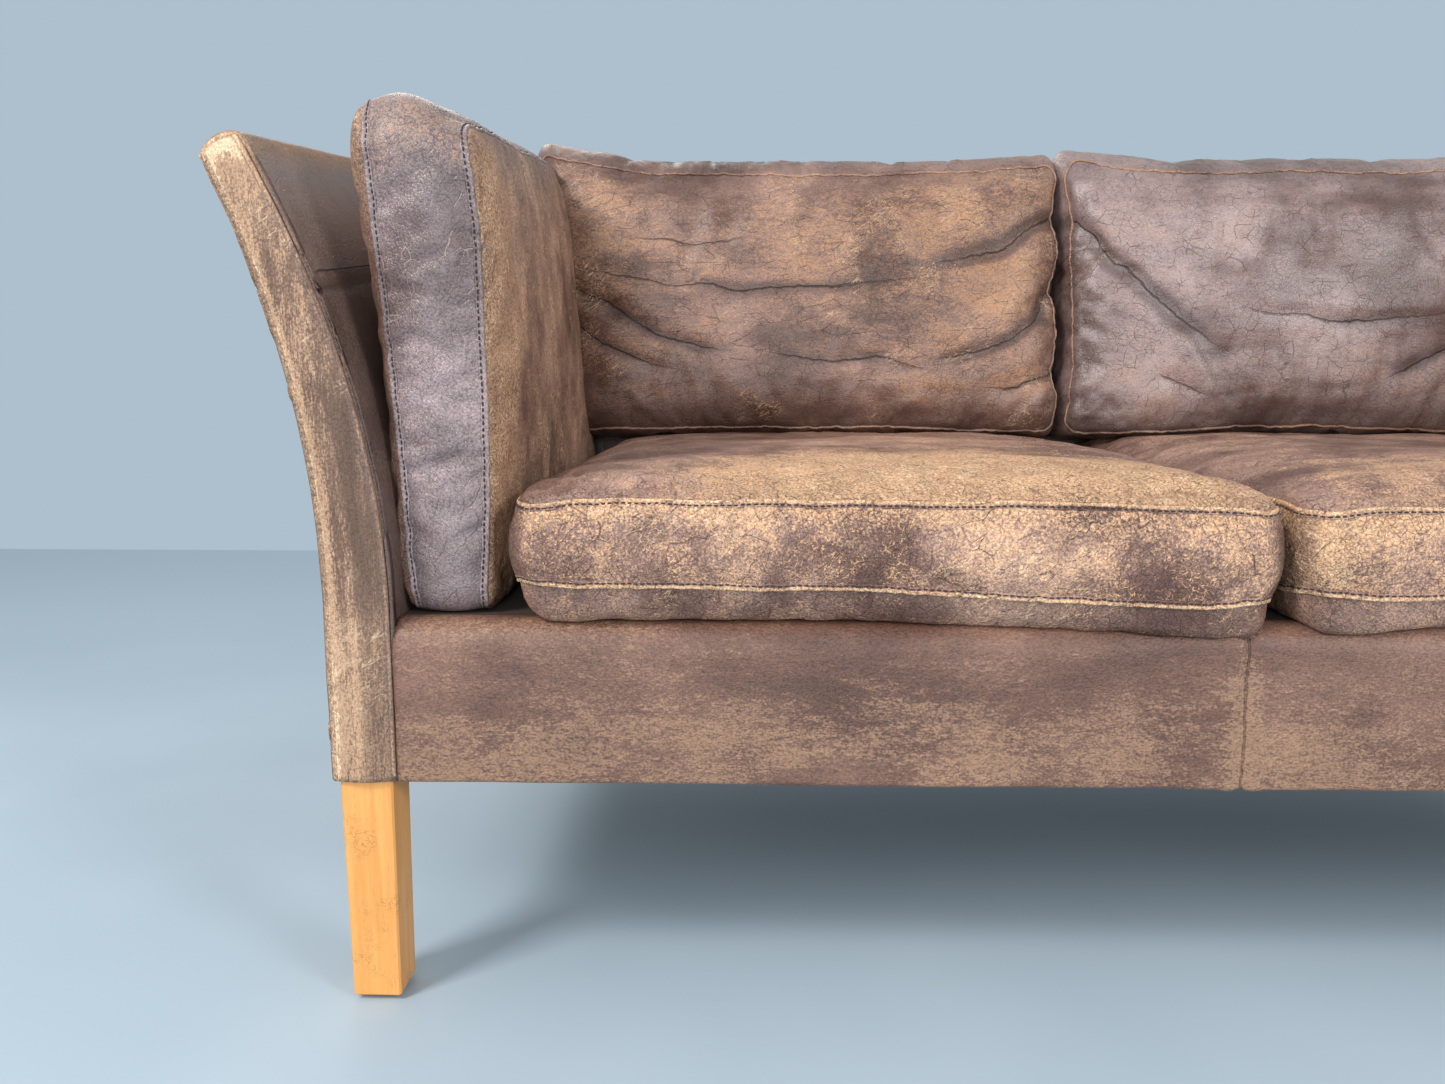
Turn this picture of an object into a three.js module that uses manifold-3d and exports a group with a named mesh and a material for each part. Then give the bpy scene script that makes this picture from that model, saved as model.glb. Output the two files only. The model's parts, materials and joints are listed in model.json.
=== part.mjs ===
// A worn two-seat leather sofa: flared arms and back on square beech legs, with loose cushions.
// Millimetres, +Z up, front towards -Y, origin on the floor in the middle of the sofa's footprint.
import * as THREE from 'three';
import { mergeVertices } from 'three/addons/utils/BufferGeometryUtils.js';
import Module from 'manifold-3d';

const wasm = await Module();
wasm.setup();

// Driving dimensions of the whole sofa
const SEAT_WIDTH = 1309; // between the inner sides of the arms, at the seat
const BODY_DEPTH = 700; // front of the arms to the outer side of the back, at the legs
const ARM_HEIGHT = 680; // floor to the top of an arm, at its front
const BACK_HEIGHT = 774; // floor to the top of the back
const DECK_HEIGHT = 318; // floor to the surface that carries the cushions

// Clearances
const GAP = 0.3; // between pieces that touch on the real sofa
const BOLT_CLEARANCE = 0.35; // round every bolt and pin
const OVERRUN = 60; // how far a cutting solid runs past what it cuts
const SAME_POINT = 1e-5; // points closer than this are one

// Arms and back: padded walls that curve outwards as they rise
const WALL_THICKNESS = 54; // at the foot
const WALL_CREST = 34; // thickness at the top edge
const WALL_CROWN = 9; // height of the rounded top edge
const BEND_START = 330; // height at which a wall starts to lean outwards
const ARM_LEAN = 114; // how far the middle of an arm has gone outwards 400 mm above the bend's start
const BACK_LEAN = 66; // the same for the back
const COVER_THICKNESS = 6; // leather on its padding
const EDGE_ROUNDING = 5; // front and rear edges of an arm
const ARM_REAR_PROUD = 2; // how far the arms reach behind the back

// Legs and their fittings
const LEG_HEIGHT = 185;
const LEG_TOP = 42; // square section at the top
const LEG_FOOT = 39; // square section at the floor
const LEG_CHAMFER = 1.5;
const LEG_SETBACK = 3; // from the front or rear edge of the arm
const GLIDE_HEIGHT = 4;
const GLIDE_RADIUS = 11;
const GLIDE_PIN_RADIUS = 1.5;
const GLIDE_PIN_LENGTH = 14;
const BOLT_RADIUS = 4;
const LEG_BOLT_IN_LEG = 32;
const LEG_BOLT_IN_POST = 36;
const ARM_BOLT_IN_RAIL = 22;
const BOLT_HEAD_RADIUS = 6.5;
const BOLT_HEAD_HEIGHT = 5;
const ARM_BOLT_HEIGHT = 252;

// Seat frame
const RAIL_THICKNESS = 24;
const FRONT_RAIL_THICKNESS = 40;
const RAIL_COVER_THICKNESS = 5;
const RAIL_ROUNDING = 22; // top front edge of the leather rail
const RAIL_HEM = 36; // leather turned in under the rail
const REBATE_DEPTH = 15; // step in the front rail that the webbing and the deck lie in
const CENTRE_RAIL_RAISE = 30; // underside of the centre rail over the other rails
const CORNER_BLOCK = 62;
const CORNER_BLOCK_HEIGHT = 76;
const WEBBING_WIDTH = 50;
const WEBBING_THICKNESS = 2.5;
const WEBBING_STRAPS = 4; // on each side of the centre rail
const DECK_THICKNESS = 5.5;
const DUST_COVER_THICKNESS = 2;

// Wooden frames inside the arms and the back
const POST_WIDTH = 44;
const TOP_RAIL_HEIGHT = 42;
const ARM_BOTTOM_RAIL_HEIGHT = 96;
const BACK_BOTTOM_RAIL_HEIGHT = 90;

// Cushions. A crown is how far a panel rises over its seams, a swell how far a border bulges.
const SEAM_LIP = 2.2; // raised edge of leather along every cushion seam
const PANEL_FULLNESS = 2.6; // exponent of a panel's dome: a higher one is flatter in the middle
const PANEL_STEEPNESS = 0.75; // exponent of its rise from the seams: a lower one is steeper
const SEAT_CUSHION_WIDTH = 582;
const SEAT_SPLIT = 22; // the line between the seat cushions, right of the middle
const SEAT_OVERHANG = 11; // in front of the rail
const SEAT_BORDER = 68;
const SEAT_SEAM_HEIGHT = 28; // lower seam above the deck
const SEAT_PRESS = 6; // how much of its underside the deck presses flat
const SEAT_CROWN = 27;
const SEAT_SWELL = 4;
const SEAT_CORNER = 24;
const ARM_CUSHION_SETBACK = 25; // from the front of the arms
const ARM_CUSHION_BORDER = 68;
const ARM_CUSHION_OUTER_CROWN = 18;
const ARM_CUSHION_INNER_CROWN = 20;
const ARM_CUSHION_RISE = 24; // over the arm's own top
const ARM_CUSHION_HEAD = 18; // how far the top border bulges over its seams
const ARM_CUSHION_LEAN = 27; // how much further out its top is than its foot, at the front
const ARM_CUSHION_PUSHED = 38; // how much further out its top is at the rear, behind the back cushion
const ARM_CUSHION_OFFSET = 39; // middle of the cushion to the inner side of the arm, at the seat
const ARM_CUSHION_SWELL = 7;
const ARM_CUSHION_CORNER = 42;
const BACK_CUSHION_THICKNESS = 96; // between its seams
const BACK_CUSHION_FRONT_CROWN = 40;
const BACK_CUSHION_REAR_CROWN = 30;
const BACK_CUSHION_HEIGHT = 324;
const BACK_CUSHION_REST = 13; // its foot over the upper seams of the seat cushions
const BACK_CUSHION_STANDOFF = 16; // its rear seam from the back, at the foot
const BACK_CUSHION_HEAD = 20; // how far the top border bulges over its seams
const BACK_CUSHION_FOOT = 598; // its width at the foot
const BACK_CUSHION_TILT = 8; // degrees from upright
const BACK_CUSHION_SPREAD = 56; // how much further out its top corner is than its bottom corner
const BACK_CUSHION_SWELL = 7;
const BACK_CUSHION_CORNER = 46;

// Heights and places that follow from the sizes above
const BODY_BOTTOM = GLIDE_HEIGHT + LEG_HEIGHT + GAP;
const REAR = BODY_DEPTH;
const HALF_SEAT = SEAT_WIDTH / 2;
const WEBBING_BOTTOM = DECK_HEIGHT - DECK_THICKNESS - GAP - WEBBING_THICKNESS;
const RAIL_TOP = WEBBING_BOTTOM - GAP;
const SIDE_RAIL_TOP = DECK_HEIGHT - DECK_THICKNESS - GAP;
const RAIL_BOTTOM = BODY_BOTTOM + RAIL_COVER_THICKNESS + GAP;
const INSIDE_FRONT = RAIL_COVER_THICKNESS + GAP; // front face of the wooden front rail
const RAIL_BACK = INSIDE_FRONT + FRONT_RAIL_THICKNESS;
const BACK_FRONT = REAR - WALL_THICKNESS; // front face of the back, at the seat
const REAR_RAIL_FRONT = BACK_FRONT - GAP - RAIL_THICKNESS;
const HALF_LENGTH = HALF_SEAT + WALL_THICKNESS + ARM_LEAN * 2; // longer than half the sofa

const looks = {
  leather: { color: 0x5a4030, roughness: 0.55 },
  beech: { color: 0xd9964a, roughness: 0.35 },
  frameWood: { color: 0xc9a878, roughness: 0.8 },
  glide: { color: 0x5b3423, roughness: 0.5 },
  steel: { color: 0xa8a8a4, roughness: 0.35, metalness: 1 },
  webbing: { color: 0xa58a5e, roughness: 0.9 },
  deckCloth: { color: 0x4a3a30, roughness: 0.9 },
  dustCloth: { color: 0x1c1c1d, roughness: 0.95 },
};

const sofa = new THREE.Group();

// Adds one named piece to the sofa.
function addPiece(name, geometry, look) {
  const mesh = new THREE.Mesh(geometry, new THREE.MeshStandardMaterial(looks[look]));
  mesh.name = name;
  sofa.add(mesh);
}

// Solids and their boolean cuts

function toSolid(geometry) {
  const bare = geometry.clone();
  bare.deleteAttribute('normal');
  bare.deleteAttribute('uv');
  const merged = mergeVertices(bare, SAME_POINT);
  return new wasm.Manifold(new wasm.Mesh({
    numProp: 3,
    vertProperties: new Float32Array(merged.attributes.position.array),
    triVerts: new Uint32Array(merged.index.array),
  }));
}

// The largest single body of a solid.
function largest(solid) {
  return solid.decompose().reduce((best, each) => (each.volume() > best.volume() ? each : best));
}

function toGeometry(solid) {
  const mesh = largest(solid).getMesh();
  const geometry = new THREE.BufferGeometry();
  geometry.setAttribute('position', new THREE.BufferAttribute(new Float32Array(mesh.vertProperties), 3));
  geometry.setIndex(new THREE.BufferAttribute(new Uint32Array(mesh.triVerts), 1));
  geometry.computeVertexNormals();
  return geometry;
}

// A closed body through rings of equal length. Its ends are closed by a fan to a pole, where a ring
// is a single point, and otherwise by a ladder across the ring, from each point to its opposite one.
function skin(rings) {
  const points = [];
  const faces = [];
  const starts = rings.map((ring) => {
    const start = points.length;
    points.push(...ring);
    return start;
  });
  const around = Math.max(...rings.map((ring) => ring.length));
  const at = (ring, i) => starts[ring] + (rings[ring].length === 1 ? 0 : i % around);
  for (let ring = 0; ring + 1 < rings.length; ring += 1) {
    for (let i = 0; i < around; i += 1) {
      const [a, b, c, d] = [at(ring, i), at(ring, i + 1), at(ring + 1, i + 1), at(ring + 1, i)];
      if (a !== b) faces.push([a, b, c]);
      if (c !== d) faces.push([a, c, d]);
    }
  }
  for (const [ring, turned] of [[0, true], [rings.length - 1, false]]) {
    if (rings[ring].length === 1) continue;
    for (let i = 0; i + 1 < around / 2; i += 1) {
      const quad = [i, i + 1, around - 2 - i, around - 1 - i].map((k) => at(ring, k));
      if (turned) quad.reverse();
      faces.push([quad[0], quad[1], quad[2]]);
      if (quad[2] !== quad[3]) faces.push([quad[0], quad[2], quad[3]]);
    }
  }
  const geometry = new THREE.BufferGeometry();
  geometry.setAttribute('position', new THREE.Float32BufferAttribute(points.flat(), 3));
  geometry.setIndex(faces.flat());
  return faceOutwards(geometry);
}

// Turns every triangle round if the body's signed volume is negative.
function faceOutwards(geometry) {
  const place = geometry.attributes.position;
  const index = geometry.index.array;
  const [a, b, c] = [new THREE.Vector3(), new THREE.Vector3(), new THREE.Vector3()];
  let volume = 0;
  for (let i = 0; i < index.length; i += 3) {
    a.fromBufferAttribute(place, index[i]);
    b.fromBufferAttribute(place, index[i + 1]);
    c.fromBufferAttribute(place, index[i + 2]);
    volume += a.dot(b.cross(c));
  }
  if (volume < 0) index.reverse();
  return geometry;
}

function block(x, y, z) {
  const geometry = new THREE.BoxGeometry(x[1] - x[0], y[1] - y[0], z[1] - z[0]);
  geometry.translate((x[0] + x[1]) / 2, (y[0] + y[1]) / 2, (z[0] + z[1]) / 2);
  return geometry;
}

// A round bar from one end along +X, +Y or +Z.
function roundBar(radius, length, from, axis, sides = 16) {
  const geometry = new THREE.CylinderGeometry(radius, radius, length, sides);
  if (axis === 'x') geometry.rotateZ(-Math.PI / 2);
  if (axis === 'z') geometry.rotateX(Math.PI / 2);
  const half = length / 2;
  geometry.translate(
    from[0] + (axis === 'x' ? half : 0),
    from[1] + (axis === 'y' ? half : 0),
    from[2] + (axis === 'z' ? half : 0),
  );
  return geometry;
}

// A section drawn in depth and height, run across the sofa from one x to another.
function runAcross(shape, x) {
  const run = { depth: x[1] - x[0], bevelEnabled: false, curveSegments: 5 };
  const geometry = new THREE.ExtrudeGeometry(shape, run);
  const turn = new THREE.Matrix4().set(0, 0, 1, x[0], 1, 0, 0, 0, 0, 1, 0, 0, 0, 0, 0, 1);
  return geometry.applyMatrix4(turn);
}

// Walls

const armWall = { middle: HALF_SEAT + WALL_THICKNESS / 2, lean: ARM_LEAN };
const backWall = { middle: REAR - WALL_THICKNESS / 2, lean: BACK_LEAN };

// Where the middle of a wall is at a height, and the angle at which it leans there.
function spineAt(wall, up) {
  const over = Math.max(0, up - BEND_START) / 400;
  return { out: wall.middle + wall.lean * over ** 2, angle: Math.atan((wall.lean * over) / 200) };
}

function halfThickness(up, top) {
  const share = THREE.MathUtils.clamp((up - BEND_START) / (top - BEND_START), 0, 1);
  return (WALL_THICKNESS - (WALL_THICKNESS - WALL_CREST) * share ** 1.5) / 2;
}

// Outer side of a wall at a height.
function outerFace(wall, up, top) {
  const spine = spineAt(wall, up);
  return spine.out + halfThickness(up, top) / Math.cos(spine.angle);
}

// Outline of a wall as [out, up] pairs: up the outer side, over the crown and down the inner side.
// inset draws it smaller all round, except at the foot, which is at bottom. rise makes it taller.
function wallOutline(wall, top, { inset = 0, rise = 0, bottom = BODY_BOTTOM, steps = 9, crownSteps = 5 }) {
  const crown = Math.max(WALL_CROWN - inset, 1);
  const shoulder = top - inset - crown;
  const end = shoulder + rise;
  const side = (up, way) => {
    const spine = spineAt(wall, up);
    const half = halfThickness(up, top) - inset;
    return [spine.out + way * half * Math.cos(spine.angle), up - way * half * Math.sin(spine.angle)];
  };
  const straight = [bottom, ...Array.from({ length: steps }, (_, i) => {
    return BEND_START + (shoulder - BEND_START) * (i / (steps - 1));
  })];
  if (rise > 0) straight.push(end);
  const spine = spineAt(wall, end);
  const half = halfThickness(end, top) - inset;
  const over = Array.from({ length: crownSteps - 1 }, (_, i) => {
    const turn = (Math.PI * (i + 1)) / crownSteps;
    const [off, up] = [half * Math.cos(turn), crown * Math.sin(turn)];
    return [
      spine.out + off * Math.cos(spine.angle) + up * Math.sin(spine.angle),
      end - off * Math.sin(spine.angle) + up * Math.cos(spine.angle),
    ];
  });
  return [...straight.map((up) => side(up, 1)), ...over, ...straight.toReversed().map((up) => side(up, -1))];
}

// The height of an arm's top, from 0 at its front to 1 at its rear.
const armTop = (share) => ARM_HEIGHT + (BACK_HEIGHT - ARM_HEIGHT) * share;
const armRear = (up) => outerFace(backWall, up, BACK_HEIGHT) + ARM_REAR_PROUD;

// An arm, side -1 on the left and 1 on the right. Its rings run from front to rear; each has a share
// of that way, an inset, and a distance from the nearer end.
function armBody(side, rings, options = {}) {
  return skin(rings.map(({ share, inset, end }) => {
    const outline = wallOutline(armWall, armTop(share), { ...options, inset });
    return outline.map(([out, up]) => {
      const front = end;
      const rear = armRear(up) - end;
      return [side * out, front + (rear - front) * share, up];
    });
  }));
}

// Rings of an arm that is drawn smaller by inset all round.
function plainRings(inset) {
  return [0, 1 / 3, 2 / 3, 1].map((share) => ({ share, inset, end: inset }));
}

const ROUNDED_RINGS = [
  { share: 0, inset: EDGE_ROUNDING, end: 0 },
  { share: 0, inset: EDGE_ROUNDING * 0.3, end: EDGE_ROUNDING * 0.3 },
  { share: 0, inset: 0, end: EDGE_ROUNDING },
  { share: 1 / 3, inset: 0, end: 0 },
  { share: 2 / 3, inset: 0, end: 0 },
  { share: 1, inset: 0, end: EDGE_ROUNDING },
  { share: 1, inset: EDGE_ROUNDING * 0.3, end: EDGE_ROUNDING * 0.3 },
  { share: 1, inset: EDGE_ROUNDING, end: 0 },
];

// The back, as long as the sofa and longer: the arms cut its ends.
function backBody(inset, options = {}) {
  const outline = wallOutline(backWall, BACK_HEIGHT, { ...options, inset });
  return skin([-HALF_LENGTH, HALF_LENGTH].map((x) => outline.map(([out, up]) => [x, out, up])));
}

// What an arm takes out of its neighbours: its own form, taller and larger by a gap.
function armCutter(gap) {
  const past = { rise: OVERRUN, bottom: BODY_BOTTOM - OVERRUN };
  const cutters = [-1, 1].map((side) => toSolid(armBody(side, plainRings(-gap), past)));
  return cutters[0].add(cutters[1]);
}

const LEG_PLACES = [-1, 1].flatMap((side) => ['front', 'rear'].map((end) => ({
  side,
  name: `${end}_${side < 0 ? 'left' : 'right'}`,
  x: side * armWall.middle,
  y: end === 'front' ? LEG_SETBACK + LEG_TOP / 2 : REAR + ARM_REAR_PROUD - LEG_SETBACK - LEG_TOP / 2,
})));

function legBolt(place, clearance) {
  const length = LEG_BOLT_IN_LEG + GAP + LEG_BOLT_IN_POST;
  const from = [place.x, place.y, BODY_BOTTOM - GAP - LEG_BOLT_IN_LEG - clearance];
  return roundBar(BOLT_RADIUS + clearance, length + 2 * clearance, from, 'z');
}

// Hexagon bolts run through a side rail and the arm's leather into the arm's bottom rail, with their
// heads towards the middle of the sofa.
const BOLT_PLACES = [-1, 1].flatMap((side) => ['front', 'rear'].map((end) => ({
  side,
  name: `${end}_${side < 0 ? 'left' : 'right'}`,
  y: THREE.MathUtils.lerp(RAIL_BACK, REAR_RAIL_FRONT, end === 'front' ? 0.25 : 0.75),
})));

function armBolt(place, clearance) {
  const head = HALF_SEAT - GAP - RAIL_THICKNESS - GAP;
  const length = GAP + RAIL_THICKNESS + GAP + COVER_THICKNESS + GAP + ARM_BOLT_IN_RAIL;
  const [y, z] = [place.y, ARM_BOLT_HEIGHT];
  const shank = roundBar(BOLT_RADIUS + clearance, length + clearance, [head, y, z], 'x');
  const cap = roundBar(BOLT_HEAD_RADIUS, BOLT_HEAD_HEIGHT, [head - BOLT_HEAD_HEIGHT, y, z], 'x', 6);
  const bolt = clearance > 0 ? toSolid(shank) : toSolid(shank).add(toSolid(cap));
  return place.side < 0 ? bolt.mirror([1, 0, 0]) : bolt;
}

// Takes the bolt holes of one side of the sofa out of a solid.
function drill(solid, side) {
  const places = BOLT_PLACES.filter((place) => place.side === side);
  return places.reduce((rest, place) => rest.subtract(armBolt(place, BOLT_CLEARANCE)), solid);
}

// Arms: leather shell, posts, top rail and bottom rail

function addArm(side) {
  const name = side < 0 ? 'left' : 'right';
  const places = LEG_PLACES.filter((place) => place.side === side);
  const coarse = { steps: 5, crownSteps: 3 };
  const cavity = armBody(side, plainRings(COVER_THICKNESS), { ...coarse, bottom: BODY_BOTTOM - OVERRUN });
  const shell = toSolid(armBody(side, ROUNDED_RINGS)).subtract(toSolid(cavity));
  addPiece(`arm_cover_${name}`, toGeometry(drill(shell, side)), 'leather');

  const inside = toSolid(armBody(side, plainRings(COVER_THICKNESS + GAP), coarse));
  const wide = [side * HALF_LENGTH, side * HALF_SEAT].sort((a, b) => a - b);
  const postFront = COVER_THICKNESS + GAP + POST_WIDTH;
  const postRear = REAR + ARM_REAR_PROUD - COVER_THICKNESS - GAP - POST_WIDTH;
  const cut = (y, z) => inside.intersect(toSolid(block(wide, y, z)));
  const tall = [BODY_BOTTOM, BACK_HEIGHT + WALL_THICKNESS];
  const posts = { front: cut([0, postFront], tall), rear: cut([postRear, REAR + BACK_HEIGHT], tall) };
  for (const place of places) {
    const end = place.name.split('_')[0];
    const post = posts[end].subtract(toSolid(legBolt(place, BOLT_CLEARANCE)));
    addPiece(`arm_post_${place.name}`, toGeometry(post), 'frameWood');
  }
  const railY = [postFront + GAP, postRear - GAP];
  const bottomRail = drill(cut(railY, [BODY_BOTTOM, BODY_BOTTOM + ARM_BOTTOM_RAIL_HEIGHT]), side);
  addPiece(`arm_bottom_rail_${name}`, toGeometry(bottomRail), 'frameWood');
  const slope = (BACK_HEIGHT - ARM_HEIGHT) / armRear(BACK_HEIGHT);
  const under = (y) => ARM_HEIGHT + slope * y - COVER_THICKNESS - TOP_RAIL_HEIGHT;
  const sideView = new THREE.Shape();
  sideView.moveTo(railY[0], under(railY[0]));
  sideView.lineTo(railY[1], under(railY[1]));
  sideView.lineTo(railY[1], BACK_HEIGHT + WALL_THICKNESS);
  sideView.lineTo(railY[0], BACK_HEIGHT + WALL_THICKNESS);
  const topRail = inside.intersect(toSolid(runAcross(sideView, wide)));
  addPiece(`arm_top_rail_${name}`, toGeometry(topRail), 'frameWood');
}

// Back: leather shell, three posts, top and bottom rail

function addBack() {
  const coarse = { steps: 5, crownSteps: 3 };
  const outer = toSolid(backBody(0)).subtract(armCutter(GAP));
  const cavity = toSolid(backBody(COVER_THICKNESS, { ...coarse, bottom: BODY_BOTTOM - OVERRUN }))
    .subtract(armCutter(GAP + COVER_THICKNESS));
  addPiece('back_cover', toGeometry(outer.subtract(cavity)), 'leather');

  const long = toSolid(backBody(COVER_THICKNESS + GAP, coarse));
  const inside = largest(long.subtract(armCutter(2 * GAP + COVER_THICKNESS)));
  const deep = [BACK_FRONT, REAR + BACK_HEIGHT];
  const cut = (x, z) => toGeometry(inside.intersect(toSolid(block(x, deep, z))));
  const endFace = HALF_SEAT - COVER_THICKNESS - 2 * GAP;
  const postInner = endFace - POST_WIDTH;
  const railUnder = BACK_HEIGHT - COVER_THICKNESS - TOP_RAIL_HEIGHT;
  const bottomTop = BODY_BOTTOM + BACK_BOTTOM_RAIL_HEIGHT;
  const whole = [-HALF_LENGTH, HALF_LENGTH];
  addPiece('back_bottom_rail', cut(whole, [BODY_BOTTOM, bottomTop]), 'frameWood');
  addPiece('back_top_rail', cut(whole, [railUnder, BACK_HEIGHT + OVERRUN]), 'frameWood');
  const postZ = [bottomTop + GAP, railUnder - GAP];
  addPiece('back_post_left', cut([-endFace, -postInner], postZ), 'frameWood');
  addPiece('back_post_centre', cut([-POST_WIDTH / 2, POST_WIDTH / 2], postZ), 'frameWood');
  addPiece('back_post_right', cut([postInner, endFace], postZ), 'frameWood');
}

// Legs with their glides and bolts

function legGeometry(place) {
  const ring = (size, z) => {
    const [far, near] = [size / 2, size / 2 - LEG_CHAMFER];
    const corners = [[far, -near], [far, near], [near, far], [-near, far]];
    return [...corners, ...corners.map(([x, y]) => [-x, -y])].map(([x, y]) => [place.x + x, place.y + y, z]);
  };
  const top = GLIDE_HEIGHT + LEG_HEIGHT;
  const leg = toSolid(skin([
    ring(LEG_FOOT - 2 * LEG_CHAMFER, GLIDE_HEIGHT),
    ring(LEG_FOOT, GLIDE_HEIGHT + LEG_CHAMFER),
    ring(LEG_TOP, top),
  ]));
  const pinHole = roundBar(
    GLIDE_PIN_RADIUS + BOLT_CLEARANCE,
    GLIDE_PIN_LENGTH + 2 * BOLT_CLEARANCE,
    [place.x, place.y, GLIDE_HEIGHT - BOLT_CLEARANCE],
    'z',
  );
  const boltHole = toSolid(legBolt(place, BOLT_CLEARANCE));
  return toGeometry(leg.subtract(boltHole).subtract(toSolid(pinHole)));
}

function glideGeometry(place) {
  const face = GLIDE_HEIGHT - GAP;
  const profile = [
    [0, 0],
    [GLIDE_RADIUS - 1, 0],
    [GLIDE_RADIUS, 1],
    [GLIDE_RADIUS, face - 0.8],
    [GLIDE_RADIUS - 0.8, face],
    [GLIDE_PIN_RADIUS, face],
    [GLIDE_PIN_RADIUS, GLIDE_HEIGHT + GLIDE_PIN_LENGTH - 3],
    [0, GLIDE_HEIGHT + GLIDE_PIN_LENGTH],
  ].map(([x, y]) => new THREE.Vector2(x, y));
  const geometry = new THREE.LatheGeometry(profile, 20).rotateX(Math.PI / 2);
  return toGeometry(toSolid(geometry.translate(place.x, place.y, 0)));
}

function addLegs() {
  for (const place of LEG_PLACES) {
    addPiece(`leg_${place.name}`, legGeometry(place), 'beech');
    addPiece(`glide_${place.name}`, glideGeometry(place), 'glide');
    addPiece(`leg_bolt_${place.name}`, legBolt(place, 0), 'steel');
  }
  for (const place of BOLT_PLACES) addPiece(`arm_bolt_${place.name}`, toGeometry(armBolt(place, 0)), 'steel');
}

// Seat frame: rails, corner blocks, webbing, deck and dust cover

function frontRailShape() {
  const round = RAIL_ROUNDING - RAIL_COVER_THICKNESS;
  const top = DECK_HEIGHT - RAIL_COVER_THICKNESS - GAP;
  const shape = new THREE.Shape();
  shape.moveTo(INSIDE_FRONT, RAIL_BOTTOM);
  shape.lineTo(RAIL_BACK, RAIL_BOTTOM);
  shape.lineTo(RAIL_BACK, RAIL_TOP);
  shape.lineTo(RAIL_BACK - REBATE_DEPTH, RAIL_TOP);
  shape.lineTo(RAIL_BACK - REBATE_DEPTH, top);
  shape.lineTo(INSIDE_FRONT + round, top);
  shape.absarc(INSIDE_FRONT + round, top - round, round, Math.PI / 2, Math.PI);
  return shape;
}

// The rail's leather: in under the rail, up its front, round the top edge and back to the deck.
function railCoverShape() {
  const inner = RAIL_ROUNDING - RAIL_COVER_THICKNESS;
  const back = RAIL_BACK - REBATE_DEPTH;
  const shape = new THREE.Shape();
  shape.moveTo(0, BODY_BOTTOM + 3);
  shape.lineTo(3, BODY_BOTTOM);
  shape.lineTo(RAIL_HEM, BODY_BOTTOM);
  shape.lineTo(RAIL_HEM, BODY_BOTTOM + RAIL_COVER_THICKNESS);
  shape.lineTo(RAIL_COVER_THICKNESS, BODY_BOTTOM + RAIL_COVER_THICKNESS);
  shape.lineTo(RAIL_COVER_THICKNESS, DECK_HEIGHT - RAIL_ROUNDING);
  shape.absarc(RAIL_ROUNDING, DECK_HEIGHT - RAIL_ROUNDING, inner, Math.PI, Math.PI / 2, true);
  shape.lineTo(back, DECK_HEIGHT - RAIL_COVER_THICKNESS);
  shape.lineTo(back, DECK_HEIGHT);
  shape.absarc(RAIL_ROUNDING, DECK_HEIGHT - RAIL_ROUNDING, RAIL_ROUNDING, Math.PI / 2, Math.PI);
  return shape;
}

function addSeatFrame() {
  const across = [-HALF_SEAT + GAP, HALF_SEAT - GAP];
  addPiece('front_rail', runAcross(frontRailShape(), across), 'frameWood');
  addPiece('front_rail_cover', runAcross(railCoverShape(), across), 'leather');
  const rearRail = block(across, [REAR_RAIL_FRONT, BACK_FRONT - GAP], [RAIL_BOTTOM, RAIL_TOP]);
  addPiece('rear_rail', rearRail, 'frameWood');

  const inFrame = [RAIL_BACK + GAP, REAR_RAIL_FRONT - GAP];
  for (const [side, name] of [[-1, 'left'], [1, 'right']]) {
    const x = [side * (HALF_SEAT - GAP), side * (HALF_SEAT - GAP - RAIL_THICKNESS)].sort((a, b) => a - b);
    const bar = toSolid(block(x, inFrame, [RAIL_BOTTOM, SIDE_RAIL_TOP]));
    addPiece(`side_rail_${name}`, toGeometry(drill(bar, side)), 'frameWood');
  }
  const half = RAIL_THICKNESS / 2;
  const centreRail = block([-half, half], inFrame, [RAIL_BOTTOM + CENTRE_RAIL_RAISE, RAIL_TOP]);
  addPiece('centre_rail', centreRail, 'frameWood');
  addCornerBlocks(inFrame);
  addWebbing(across);

  const deckFront = RAIL_BACK - REBATE_DEPTH + GAP;
  const deck = block(across, [deckFront, BACK_FRONT - GAP], [DECK_HEIGHT - DECK_THICKNESS, DECK_HEIGHT]);
  addPiece('seat_deck', deck, 'deckCloth');
  const dustTop = RAIL_BOTTOM - GAP;
  const dustY = [RAIL_HEM + GAP, BACK_FRONT - GAP];
  addPiece('dust_cover', block(across, dustY, [dustTop - DUST_COVER_THICKNESS, dustTop]), 'dustCloth');
}

// Blocks glued into the corners of the seat frame.
function addCornerBlocks(inFrame) {
  const inner = HALF_SEAT - GAP - RAIL_THICKNESS - GAP;
  const top = RAIL_TOP - GAP;
  for (const place of LEG_PLACES) {
    const front = place.name.startsWith('front');
    const corner = [place.side * inner, front ? inFrame[0] : inFrame[1]];
    const alongY = front ? CORNER_BLOCK : -CORNER_BLOCK;
    const ring = (z) => [
      [corner[0], corner[1], z],
      [corner[0] - place.side * CORNER_BLOCK, corner[1], z],
      [corner[0] - place.side * CORNER_BLOCK, corner[1] + alongY * 0.2, z],
      [corner[0] - place.side * CORNER_BLOCK * 0.2, corner[1] + alongY, z],
      [corner[0], corner[1] + alongY, z],
      [corner[0], corner[1] + alongY / 2, z],
    ];
    addPiece(`corner_block_${place.name}`, skin([ring(top - CORNER_BLOCK_HEIGHT), ring(top)]), 'frameWood');
  }
}

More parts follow.
